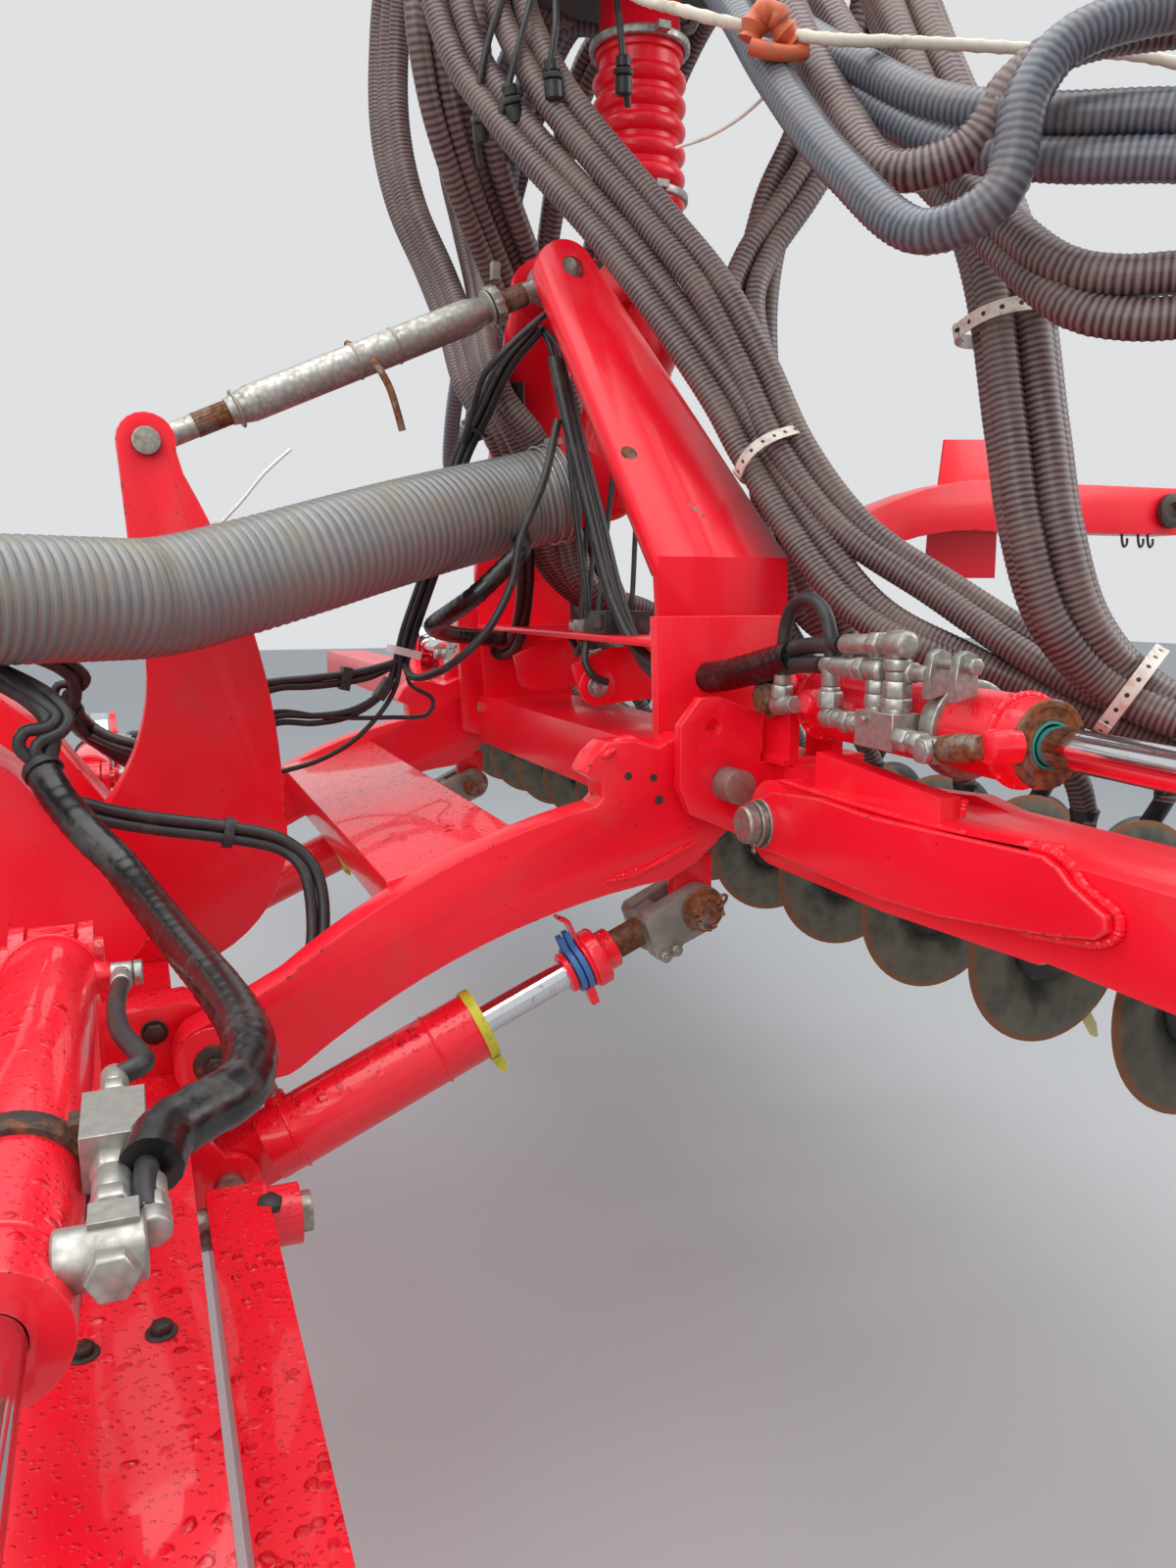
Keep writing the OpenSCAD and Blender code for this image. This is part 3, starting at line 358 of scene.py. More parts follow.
def black_rubber(name, tone=(0.022, 0.021, 0.022), rough=0.42, dust=0.35):
    shader = Shader(name)
    dirt = shader.noise(0.04, 5.0, 0.7).ramp(0.48, 0.72) * dust
    base = shader.mix(dirt, tone, (0.13, 0.11, 0.09))
    return shader.surface(base, rough + dirt * 0.4, normal=shader.bump(shader.noise(0.003, 3.0), 0.0003, 0.4))


def plastic(name, tone, dirt_tone=(0.20, 0.15, 0.10), dirty=0.4, rough=0.45):
    shader = Shader(name)
    dirt = shader.noise(0.03, 5.0, 0.7).ramp(0.50, 0.72) * dirty
    base = shader.mix(dirt, tone, dirt_tone)
    return shader.surface(base, rough + dirt * 0.3, normal=shader.bump(shader.noise(0.003, 2.0), 0.0002, 0.3))


def disc_steel(name):
    """Coulter disc: olive-grey dried mud on steel, darker near the hub, with a rusty rim."""
    shader = Shader(name)
    out = shader.attribute("out")
    mud = shader.noise(0.05, 5.0, 0.65).ramp(0.32, 0.62)
    base = shader.mix(mud, (0.105, 0.105, 0.082), (0.165, 0.152, 0.110))
    dark = out.ramp(0.62, 0.34) * shader.noise(0.06, 3.0).ramp(0.25, 0.55)
    base = shader.mix(dark, base, (0.045, 0.045, 0.040))
    rim = out.ramp(0.90, 0.97)
    base = shader.mix(rim, base, (0.26, 0.11, 0.05))
    return shader.surface(base, 0.42 + mud * 0.3, metallic=0.5 - mud * 0.4,
                          normal=shader.bump(shader.noise(0.012, 4.0), 0.0010, 0.5))


def strap_plastic(name):
    """A perforated plastic strap; the attribute along runs round it. Its holes are coloured near black as
    painted shade.
    """
    shader = Shader(name)
    cell = (shader.attribute("along") / 0.022).fraction() - 0.5
    across = shader.attribute("across") * 0.41
    hole = (cell * cell + across * across).ramp(0.022, 0.014)
    dirt = shader.noise(0.02, 5.0, 0.7).ramp(0.45, 0.70)
    base = shader.mix(dirt * 0.6, (0.72, 0.66, 0.56), (0.42, 0.22, 0.14))
    # The holes get a near-black colour: painted shade where one looks through them.
    base = shader.mix(hole, base, (0.03, 0.02, 0.02))
    return shader.surface(base, 0.5, normal=shader.bump(1 - hole, 0.0008, 0.6))


def make_materials():
    global PAINT, WET, ZINC, STEEL, RUST, GREY_TUBE, CHROME, SEED_HOSE, BLUE_HOSE, AIR_HOSE, WRAP, RUBBER
    global BLACK, DARK, DISC, STRAP, WHITE, YELLOW, BLUE, ROPE, ORANGE, TEAL, PALE
    PAINT = red_paint("red paint")
    WET = red_paint("wet red paint", drops=True, dust=0.12)
    ZINC = zinc("stained zinc")
    STEEL = zinc("pin steel", stain=0.75, tone=(0.42, 0.39, 0.34))
    RUST = rusty_steel("rusty steel", amount=0.85)
    GREY_TUBE = rusty_steel("weathered tube", amount=0.18, tone=(0.36, 0.34, 0.29))
    CHROME = chrome("chromed rod")
    # The seed hoses' dark colours for the hollows between the ribs are painted shade; the air hose's lighter
    # hollows and darker ribs are its own two tones.
    SEED_HOSE = hose_rubber("seed hose", (0.195, 0.140, 0.135), (0.046, 0.014, 0.015), (0.25, 0.19, 0.145))
    BLUE_HOSE = hose_rubber("blue-grey seed hose", (0.135, 0.150, 0.178), (0.060, 0.058, 0.070),
                            (0.20, 0.145, 0.115), 0.45, 0.38)
    AIR_HOSE = hose_rubber("air hose", (0.14, 0.15, 0.16), (0.27, 0.26, 0.235), (0.24, 0.19, 0.12), 0.55,
                           0.36)
    WRAP = wrapped_rubber("spiral wrapped hose")
    RUBBER = black_rubber("black hose")
    BLACK = black_rubber("black coulter paint", (0.026, 0.026, 0.027), 0.5, 0.6)
    # Dark steel of washers, bolts and clamps; the same material fills bolt holes as painted shade.
    DARK = rusty_steel("dark washer steel and hole shade", amount=0.35, tone=(0.07, 0.06, 0.055))
    DISC = disc_steel("coulter disc")
    STRAP = strap_plastic("perforated strap")
    WHITE = plastic("white cable tie", (0.78, 0.77, 0.72), dirty=0.25)
    YELLOW = plastic("yellow clip", (0.62, 0.60, 0.03), dirty=0.5)
    BLUE = plastic("blue clip", (0.05, 0.16, 0.42), dirty=0.5)
    ROPE = plastic("rope", (0.66, 0.60, 0.49), dirty=0.5, rough=0.8)
    ORANGE = plastic("faded orange tie", (0.55, 0.10, 0.03), dirty=0.8)
    TEAL = plastic("teal wiper", (0.02, 0.30, 0.24), dirty=0.2)
    PALE = plastic("pale yellow tongue", (0.70, 0.64, 0.28), dirty=0.4)


# Geometry Nodes

TREES = {}


def group_input(group, name, kind, default=None):
    socket = group.interface.new_socket(name, in_out="INPUT", socket_type=kind)
    if default is not None:
        socket.default_value = default
    return socket.identifier


class Tree:
    """A Geometry Nodes tree that is being made, with the same way of adding nodes as Shader."""

    def __init__(self, name, inputs):
        self.group = bpy.data.node_groups.new(name, "GeometryNodeTree")
        self.ids = {}
        self.ids["Geometry"] = group_input(self.group, "Geometry", "NodeSocketGeometry")
        for label, kind, default in inputs:
            self.ids[label] = group_input(self.group, label, kind, default)
        self.group.interface.new_socket("Geometry", in_out="OUTPUT", socket_type="NodeSocketGeometry")
        self.tree = self.group
        self.start = self.group.nodes.new("NodeGroupInput")

    def given(self, label):
        socket = next(s for s in self.start.outputs if s.identifier == self.ids[label])
        return Value(self, socket)

    node = Shader.node

    def finish(self, geometry, material):
        whole = self.node("GeometryNodeRealizeInstances", {}, {"Geometry": geometry})
        whole = self.node("GeometryNodeSetMaterial", {}, {"Geometry": whole, "Material": material})
        out = self.group.nodes.new("NodeGroupOutput")
        self.group.links.new(whole.socket, out.inputs[0])
        return self


def make_hose_tree():
    """Sweeps ribbed hose along curves: rings at equal steps, the first few of each rib standing out."""
    tree = Tree("Ribbed hose", [("Diameter", "NodeSocketFloat", 0.044), ("Pitch", "NodeSocketFloat", 0.007),
                                ("Depth", "NodeSocketFloat", 0.001), ("Rings per rib", "NodeSocketInt", 2),
                                ("Rings in crest", "NodeSocketInt", 1), ("Sides", "NodeSocketInt", 12),
                                ("Material", "NodeSocketMaterial", None)])
    rings = tree.given("Rings per rib")
    step = tree.given("Pitch") / rings
    line = tree.node("GeometryNodeResampleCurve", {"mode": "LENGTH"},
                     {"Curve": tree.given("Geometry"), "Length": step})
    index = tree.node("GeometryNodeSplineParameter", output="Index")
    along = tree.node("GeometryNodeSplineParameter", output="Length")
    place_in_rib = tree.node("ShaderNodeMath", {"operation": "MODULO"}, {0: index, 1: rings})
    crest = tree.node("ShaderNodeMath", {"operation": "LESS_THAN"}, {0: place_in_rib,
                                                                      1: tree.given("Rings in crest") - 0.5})
    line = tree.node("GeometryNodeStoreNamedAttribute", {"data_type": "FLOAT", "domain": "POINT"},
                     {"Geometry": line, "Name": "rib", "Value": crest})
    line = tree.node("GeometryNodeStoreNamedAttribute", {"data_type": "FLOAT", "domain": "POINT"},
                     {"Geometry": line, "Name": "along", "Value": along})
    radius = tree.given("Diameter") * 0.5 - (1.0 - crest) * tree.given("Depth")
    ring = tree.node("GeometryNodeCurvePrimitiveCircle", {},
                     {"Resolution": tree.given("Sides"), "Radius": 1.0}, "Curve")
    place = tree.node("GeometryNodeInputPosition")
    for name, axis in (("ring_x", "X"), ("ring_y", "Y")):
        value = tree.node("ShaderNodeSeparateXYZ", {}, {"Vector": place}, axis)
        ring = tree.node("GeometryNodeStoreNamedAttribute", {"data_type": "FLOAT", "domain": "POINT"},
                         {"Geometry": ring, "Name": name, "Value": value})
    mesh = tree.node("GeometryNodeCurveToMesh", {}, {"Curve": line, "Profile Curve": ring, "Scale": radius,
                                                     "Fill Caps": True})
    mesh = tree.node("GeometryNodeSetShadeSmooth", {}, {"Geometry": mesh, "Shade Smooth": True})
    return tree.finish(mesh, tree.given("Material"))


def make_row_tree():
    """Sets copies of a piece at equal steps."""
    tree = Tree("Row of pieces", [("Piece", "NodeSocketObject", None), ("Count", "NodeSocketInt", 2),
                                  ("Start", "NodeSocketVector", None), ("Step", "NodeSocketVector", None),
                                  ("Material", "NodeSocketMaterial", None)])
    points = tree.node("GeometryNodeMeshLine", {"mode": "OFFSET", "count_mode": "TOTAL"}, {
        "Count": tree.given("Count"), "Start Location": tree.given("Start"), "Offset": tree.given("Step")})
    piece = tree.node("GeometryNodeObjectInfo", {}, {"Object": tree.given("Piece")}, "Geometry")
    copies = tree.node("GeometryNodeInstanceOnPoints", {}, {"Points": points, "Instance": piece})
    return tree.finish(copies, tree.given("Material"))


def grown(source, tree, values):
    """The plain mesh that a tree makes of a source object."""
    modifier = source.modifiers.new("grow", "NODES")
    modifier.node_group = tree.group
    for label, value in values.items():
        modifier[tree.ids[label]] = value
    bpy.context.view_layer.update()
    evaluated = source.evaluated_get(bpy.context.evaluated_depsgraph_get())
    mesh = bpy.data.meshes.new_from_object(evaluated)
    source.modifiers.remove(modifier)
    return mesh


# Shapes

def link(name, mesh):
    piece = bpy.data.objects.new(name, mesh)
    bpy.context.scene.collection.objects.link(piece)
    return piece


def smooth_line(points, step=12.0):
    """Points at about equal steps on a smooth line through the given points."""
    p = [Vector(q) for q in points]
    p = [p[0] * 2 - p[1]] + p + [p[-1] * 2 - p[-2]]
    line = []
    for i in range(1, len(p) - 2):
        count = max(2, round((p[i + 1] - p[i]).length / step))
        for k in range(count):
            line.append(centripetal(p[i - 1:i + 3], k / count))
    return line + [p[-2]]


def centripetal(p, u):
    """A point on the Catmull-Rom curve between p[1] and p[2] that doesn't overshoot."""
    t = [0.0]
    for a, b in zip(p, p[1:]):
        t.append(t[-1] + max((b - a).length, 1e-6) ** 0.5)
    x = t[1] + (t[2] - t[1]) * u
    a = [p[i] * ((t[i + 1] - x) / (t[i + 1] - t[i])) + p[i + 1] * ((x - t[i]) / (t[i + 1] - t[i]))
         for i in range(3)]
    b = [a[i] * ((t[i + 2] - x) / (t[i + 2] - t[i])) + a[i + 1] * ((x - t[i]) / (t[i + 2] - t[i]))
         for i in range(2)]
    return b[0] * ((t[2] - x) / (t[2] - t[1])) + b[1] * ((x - t[1]) / (t[2] - t[1]))


def axes_from(axis):
    """Two unit vectors square to an axis, and the axis."""
    w = Vector(axis).normalized()
    u = w.orthogonal().normalized()
    if abs(w.z) < 0.95:
        u = Vector((0, 0, 1)).cross(w).normalized()
    return u, w.cross(u), w


class Shape:
    """Faces gathered in millimetres until they become one piece."""

    def __init__(self):
        self.verts = []
        self.faces = []

    def add(self, verts, faces):
        first = len(self.verts)
        self.verts += [Vector(v) for v in verts]
        self.faces += [[first + i for i in face] for face in faces]
        return self

    def lathe(self, start, axis, profile, sides=24, phase=0.0, ring=False):
        """Turns [(distance along the axis, radius), ...] round an axis, with closed ends or as a ring."""
        u, v, w = axes_from(axis)
        start = Vector(start)
        verts, faces = [], []
        for distance, radius in profile:
            for i in range(sides):
                a = 2 * math.pi * (i + phase) / sides
                verts.append(start + w * distance + (u * math.cos(a) + v * math.sin(a)) * radius)
        rows = len(profile)
        for r in range(rows if ring else rows - 1):
            for i in range(sides):
                j, after = (i + 1) % sides, (r + 1) % rows
                faces.append([r * sides + i, r * sides + j, after * sides + j, after * sides + i])
        if ring:
            return self.add(verts, faces)
        faces.append(list(range(sides))[::-1])
        faces.append([(rows - 1) * sides + i for i in range(sides)])
        return self.add(verts, faces)

    def rod(self, start, end, radius, sides=20, chamfer=0.0):
        start, end = Vector(start), Vector(end)
        length = (end - start).length
        profile = [(0, radius), (length, radius)]
        if chamfer:
            narrow = radius - chamfer
            profile = [(0, narrow), (chamfer, radius), (length - chamfer, radius), (length, narrow)]
        return self.lathe(start, end - start, profile, sides)

    def nut(self, start, axis, across, height, washer=0.0):
        """A hexagon with chamfered corners, on a washer if one is given."""
        radius = across / math.sqrt(3)
        way = Vector(axis).normalized()
        start = Vector(start)
        if washer:
            self.lathe(start, way, [(0, washer), (3, washer)], 24)
            start = start + way * 3
        return self.lathe(start, way, [(0, radius * 0.94), (height * 0.12, radius), (height * 0.86, radius),
                                       (height, radius * 0.90)], 6)

    def bolt(self, start, axis, size, washer=True, head=True):
        """A hexagon bolt's head with a dished top, or a nut with the thread's end showing."""
        way = Vector(axis).normalized()
        self.nut(start, way, size * 1.6, size * 0.65, size * 1.15 if washer else 0)
        top = Vector(start) + way * ((3 if washer else 0) + size * 0.65)
        if head:
            return self.lathe(top, way, [(0, size * 0.62), (size * 0.06, size * 0.56)], 16)
        return self.lathe(top, way, [(0, size * 0.5), (size * 0.35, size * 0.5), (size * 0.42, size * 0.40)],
                          12)

    def box(self, low, high, turn=None):
        low, high = Vector(low), Vector(high)
        corners = [Vector(((high if x else low).x, (high if y else low).y, (high if z else low).z))
                   for x in (0, 1) for y in (0, 1) for z in (0, 1)]
        if turn:
            corners = [turn @ c for c in corners]
        return self.add(corners, [[0, 1, 3, 2], [4, 6, 7, 5], [0, 4, 5, 1], [2, 3, 7, 6], [0, 2, 6, 4],
                                  [1, 5, 7, 3]])

    def plate(self, outline, across, turn=None):
        """An outline of [x, z] points made solid from y = across[0] to across[1]."""
        n = len(outline)
        verts = [Vector((x, y, z)) for y in across for x, z in outline]
        if turn:
            verts = [turn @ v for v in verts]
        faces = [[i, (i + 1) % n, n + (i + 1) % n, n + i] for i in range(n)]
        return self.add(verts, faces + [list(range(n))[::-1], [n + i for i in range(n)]])

    def tube(self, points, radius, sides=10, step=12.0, thickness=None):
        """A tube along a smooth line; thickness(place, distance) may change its radius."""
        line = smooth_line(points, step) if step else [Vector(p) for p in points]
        verts, faces = [], []
        side = None
        travelled = 0.0
        for i, p in enumerate(line):
            tangent = (line[min(i + 1, len(line) - 1)] - line[max(i - 1, 0)]).normalized()
            if i:
                travelled += (p - line[i - 1]).length
            side = tangent.orthogonal() if side is None else side - tangent * side.dot(tangent)
            side = side.normalized()
            other = tangent.cross(side)
            r = radius * (thickness(i / (len(line) - 1), travelled) if thickness else 1.0)
            for k in range(sides):
                a = 2 * math.pi * k / sides
                verts.append(p + (side * math.cos(a) + other * math.sin(a)) * r)
        for i in range(len(line) - 1):
            for k in range(sides):
                j = (k + 1) % sides
                faces.append([i * sides + k, i * sides + j, (i + 1) * sides + j, (i + 1) * sides + k])
        faces.append(list(range(sides))[::-1])
        faces.append([(len(line) - 1) * sides + k for k in range(sides)])
        return self.add(verts, faces)

    def weld(self, points, radius=4.0):
        """A weld bead: a low tube with the ripples of its runs."""
        return self.tube(points, radius, 8, 2.2,
                         lambda place, d: 1.0 + 0.13 * math.sin(d * 1.5) + 0.06 * math.sin(d))

    def finish(self, name, material, body, side=None, bevel=0.0, segments=2, smooth=40, slot=None,
               replaces=()):
        """Turns the faces into a piece on a body; the left side is the mirror image."""
        mesh = bpy.data.meshes.new(name)
        flip = -1 if side == "left" else 1
        mesh.from_pydata([(v.x * MM, v.y * MM * flip, v.z * MM) for v in self.verts], [], self.faces)
        bm = bmesh.new()
        bm.from_mesh(mesh)
        bmesh.ops.recalc_face_normals(bm, faces=bm.faces)
        if bevel:
            round_edges(bm, bevel * MM, segments)
        bm.to_mesh(mesh)
        bm.free()
        return ready(link(name, mesh), material, body, smooth, replaces)


def round_edges(bm, width, segments=2, angle=28):
    """Rounds the sharp edges and marks the new faces with the attribute edge."""
    layer = bm.loops.layers.float.get("edge") or bm.loops.layers.float.new("edge")
    sharp = [e for e in bm.edges if len(e.link_faces) == 2 and e.calc_face_angle(0) > math.radians(angle)]
    made = bmesh.ops.bevel(bm, geom=sharp, offset=width, offset_type="OFFSET", segments=segments, profile=0.6,
                           affect="EDGES", clamp_overlap=True)
    for face in made["faces"]:
        for loop in face.loops:
            loop[layer] = 1.0


def ready(piece, material, body, smooth=40, replaces=()):
    piece.data.materials.clear()
    piece.data.materials.append(material)
    if smooth:
        piece.data.shade_smooth()
        piece.data.set_sharp_from_angle(angle=math.radians(smooth))
    if body:
        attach(piece, body)
    if replaces:
        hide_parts(*replaces)
    return piece


def softened(node, material, body, width=2.5, segments=2):
    """A CAD node with its edges rounded, in place of the node."""
    bm = bmesh.new()
    bm.from_mesh(frame["nodes"][node].data)
    bmesh.ops.remove_doubles(bm, verts=bm.verts, dist=2e-5)
    bmesh.ops.dissolve_degenerate(bm, edges=bm.edges, dist=2e-5)
    bmesh.ops.dissolve_limit(bm, angle_limit=math.radians(1.0), verts=bm.verts, edges=bm.edges)
    if width:
        round_edges(bm, width * MM, segments)
    mesh = bpy.data.meshes.new(node + ".look")
    bm.to_mesh(mesh)
    bm.free()
    return ready(link(node + ".look", mesh), material, body, 35, (node,))


def hose(name, routes, diameter, material, body, side=None, pitch=7.2, depth=1.1, rings=2, crest=1, sides=12,
         replaces=()):
    """Ribbed hoses along routes, as one piece."""
    flip = -1 if side == "left" else 1
    curve = bpy.data.curves.new(name, "CURVE")
    curve.dimensions = "3D"
    for route in routes:
        line = smooth_line(route, 18)
        spline = curve.splines.new("POLY")
        spline.points.add(len(line) - 1)
        for point, place in zip(spline.points, line):
            point.co = (place.x * MM, place.y * MM * flip, place.z * MM, 1)
    source = link(name + ".line", curve)
    mesh = grown(source, TREES["hose"], {
        "Diameter": diameter * MM, "Pitch": pitch * MM, "Depth": depth * MM, "Rings per rib": rings,
        "Rings in crest": crest, "Sides": sides, "Material": material})
    bpy.data.objects.remove(source)
    piece = ready(link(name, mesh), material, body, 0, replaces)
    outward(piece.data)
    return piece


def outward(mesh):
    bm = bmesh.new()
    bm.from_mesh(mesh)
    bmesh.ops.recalc_face_normals(bm, faces=bm.faces)
    bm.to_mesh(mesh)
    bm.free()


def bend(piece, first, second, start, end, side=None):
    """Lets a hose bend between two bodies from one place to the other, in millimetres."""
    flip = -1 if side == "left" else 1
    piece.parent = None
    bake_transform(piece, first, second, start=(start[0] * MM, start[1] * MM * flip, start[2] * MM),
             end=(end[0] * MM, end[1] * MM * flip, end[2] * MM))
    return piece


# Pieces

BODY_OF = {node: name for name, nodes in frame["record"]["behaviour"]["bodies"].items() for node in nodes}


def build_steelwork(settings):
    """The welded red frames, arms, beams and cylinder barrels, with rounded edges."""
    dry = ["mast", "neck_struts", "lower_arm_left", "lower_arm_right", "centre_frame", "hitch_plates",
           "tower", "rear_arch", "terminal_shelf", "wing_left", "wing_right"]
    wet = ["front_frame", "side_rails", "arm_cross_tube", "front_wing_left", "front_wing_right"]
    for kind in ("lift_barrel", "fold_barrel", "front_barrel"):
        wet += [kind + "_left", kind + "_right"]
    for node in dry:
        softened(node, PAINT, BODY_OF[node], settings.edge_width / MM)
    softened("seed_riser", PAINT, "bar", settings.edge_width / MM, 1)
    for node in wet:
        softened(node, WET, BODY_OF[node], 4.0 if node == "front_frame" else 2.5)
    for node in ("front_pins", "mast_pin", "hitch_pins", "tower_pin"):
        softened(node, STEEL, BODY_OF[node], 2.0)
    for node in ("centre_coulters", "wing_coulters_left", "wing_coulters_right"):
        softened(node, BLACK, BODY_OF[node], 2.0 if node != "wing_coulters_right" else 0, 1)
    for kind in ("fold_rod", "front_rod"):
        for side in SIDES:
            softened(f"{kind}_{side}", CHROME, BODY_OF[f"{kind}_{side}"], 1.5)
    softened("top_link", ZINC, "top_link", 1.5)
    softened("distributor_head", BLACK, "bar", 4.0, 1)


# Routes of the seed hoses as (x, outwards, z); the seed hoses in the CAD model follow nearly all of them
BESIDE = (41, 16, 0)
AWAY = (34, -28, -6)
FOLD_ROUTES = (
    [(1190, 130, 1770), (1140, 60, 1640), (1165, 85, 1500), (1225, 145, 1380), (1375, 275, 1160),
     (1505, 400, 915), (1545, 450, 810), (1640, 610, 580), (1740, 720, 500)],
    [(1300, 275, 1795), (1245, 150, 1700), (1235, 120, 1590), (1280, 175, 1440), (1425, 295, 1210),
     (1490, 365, 1095), (1545, 415, 965), (1585, 475, 830), (1650, 560, 700), (1740, 660, 610),
     (1880, 880, 460)])
HANGING_ROUTE = [(1640, 330, 1820), (1610, 560, 1620), (1590, 750, 1330), (1605, 925, 1010), (1620, 970, 805),
                 (1632, 995, 675), (1665, 1020, 560), (1730, 1060, 480), (1820, 1200, 420)]
LOOP_ROUTES = (
    [(1400, 330, 1830), (1345, 500, 1660), (1350, 640, 1450), (1380, 810, 1285), (1405, 950, 1180),
     (1430, 1055, 1110), (1475, 1155, 1070), (1555, 1250, 1050), (1650, 1450, 980), (1720, 1800, 720)],
    [(1310, 345, 1740), (1285, 560, 1540), (1320, 760, 1330), (1315, 910, 1170), (1325, 1040, 1035),
     (1350, 1150, 948), (1388, 1208, 970), (1412, 1212, 1060), (1450, 1220, 1108), (1560, 1260, 1140),
     (1650, 1420, 1090), (1720, 1780, 850)],
    [(1430, 360, 1790), (1390, 600, 1580), (1375, 955, 1130), (1385, 1045, 1040), (1435, 1100, 1052),
     (1465, 1125, 1105), (1510, 1150, 1140), (1605, 1200, 1155), (1700, 1500, 1050), (1740, 1900, 760)],
    [(1490, 390, 1780), (1490, 850, 1210), (1510, 1010, 1050), (1530, 1140, 937), (1560, 1190, 918),
     (1610, 1250, 912), (1680, 1450, 830), (1730, 1840, 560)])
FRONT_ROUTES = (
    [(1215, 170, 1860), (1175, 330, 1820), (1165, 395, 1680), (1165, 395, 1530), (1190, 375, 1390),
     (1240, 340, 1255), (1270, 270, 1120), (1280, 200, 1010), (1325, 165, 920), (1385, 205, 820),
     (1440, 215, 680), (1530, 230, 590), (1740, 220, 490)],
    [(1330, 340, 1860), (1295, 400, 1680), (1285, 400, 1500), (1300, 350, 1350), (1310, 280, 1200),
     (1285, 180, 1080), (1295, 110, 980), (1355, 100, 905), (1440, 160, 770), (1490, 145, 620),
     (1640, 130, 560), (1740, 110, 490)])
BACK_ROUTES = (
    [(1905, 190, 1740), (1860, 155, 1460), (1785, 150, 1330), (1700, 145, 1210), (1665, 160, 1120),
     (1712, 285, 780), (1730, 340, 620), (1800, 380, 470)],
    [(1860, 70, 1690), (1850, 80, 1500), (1770, 90, 1330), (1730, 95, 1130), (1760, 130, 760),
     (1800, 140, 560)])
HERE = (0, 0, 0)
LOW = (8, 14, -45)


def row_y(k):
    """Outward distance of row k of the coulters."""
    return ROW_SPACING * (k + 0.5)


def rank_x(side, k):
    """Place of a row's disc: front and rear rank by turns, the other way round on the other side."""
    return RANKS["front" if (k % 2 == 0) == (side == "left") else "rear"]


def outlet(number, radius):
    """A place on outlet n of the distributor head, at a distance from the head's axis."""
    angle = math.radians(OUTLET_START - OUTLET_STEP * (number // 2))
    return (RISER_X + radius * math.cos(angle), radius * math.sin(angle), OUTLET_HEIGHTS[number % 2])


def bundle(side, outs, first, route, steps, shift=(0, 0, 0)):
    """Hoses side by side along a route, each from its own outlet to the seed tube of its own row."""
    made = []
    for i, (out, step) in enumerate(zip(outs, steps)):
        k = first + i
        x = rank_x(side, k) + SEED_TUBE_BEHIND
        move = Vector(step) + Vector(shift)
        upper = [outlet(out, OUTLET_RADIUS), outlet(out, OUTLET_END)]
        middle = [tuple(Vector(p) + move) for p in route]
        made.append(upper + middle + [(x - 60, row_y(k), 330), (x, row_y(k), 235), (x, row_y(k), 205)])
    return made


def build_seed_hoses(settings):
    """A seed hose for every coulter row, in bundles that follow the routes above."""
    diameter = settings.hose_diameter / MM
    for side in SIDES:
        near = side == "left"
        sides, pitch = (10, settings.hose_pitch / MM) if near else (6, FAR_PITCH)
        fold_outlets, first, shift = (0, 1, 2, 3, 4), 5, HERE
        if not near:
            fold_outlets, first, shift = (0, 2, 4, 6, 8), 10, RIGHT_SHIFT
        fold = bundle(side, fold_outlets[:2], 5, FOLD_ROUTES[0], [HERE, BESIDE])
        fold += bundle(side, fold_outlets[2:], 7, FOLD_ROUTES[1], [HERE, BESIDE, AWAY])
        hanging = bundle(side, (first + 6, first + 7, first + 8, first + 9), 10, HANGING_ROUTE,
                         [HERE, BESIDE, (20, -38, 0), (78, -12, 0)], shift)
        blue = bundle(side, (first, first + 1), 14, LOOP_ROUTES[0], [HERE, LOW], shift)
        blue += bundle(side, (first + 2,), 16, LOOP_ROUTES[1], [HERE], shift)
        loops = bundle(side, (first + 3,), 17, LOOP_ROUTES[2], [HERE], shift)
        loops += bundle(side, (first + 4, first + 5), 18, LOOP_ROUTES[3], [HERE, LOW], shift)
        for name, routes, material in (("fold", fold, SEED_HOSE), ("hanging", hanging, SEED_HOSE),
                                       ("blue", blue, BLUE_HOSE), ("loops", loops, SEED_HOSE)):
            fewer = near and name in ("hanging", "loops")
            piece = hose(f"seed_hoses_{side}.{name}", routes, diameter, material, None, side, pitch=pitch,
                         sides=sides - fewer, replaces=("seed_hoses_" + side,))
            bend(piece, "bar", "wing_" + side, *WING_BEND, side)
    front = bundle("right", (1, 3, 5), 2, FRONT_ROUTES[0], [HERE, (-12, 42, 8), (10, -42, -8)])
    front += bundle("right", (7, 9), 0, FRONT_ROUTES[1], [HERE, (8, -42, -10)])
    hose("seed_hoses_centre.front", front, diameter, SEED_HOSE, "bar", "right", 8.0, sides=8,
         replaces=("seed_hoses_centre",))
    back = bundle("left", (15, 16, 17), 2, BACK_ROUTES[0], [HERE, BESIDE, AWAY])
    back += bundle("left", (18, 19), 0, BACK_ROUTES[1], [HERE, BESIDE])
    hose("seed_hoses_centre.back", back, diameter, SEED_HOSE, "bar", "left", 10.0, sides=7,
         replaces=("seed_hoses_centre",))


AIR_HOSE_ROUTE = [(-20, -520, 575), (150, -470, 580), (300, -420, 586), (438, -360, 590), (560, -300, 590),
                  (640, -255, 592), (760, -215, 620), (883, -180, 655), (1020, -120, 695), (1150, -60, 730),
                  (1290, 0, 765), (1397, 0, 793)]


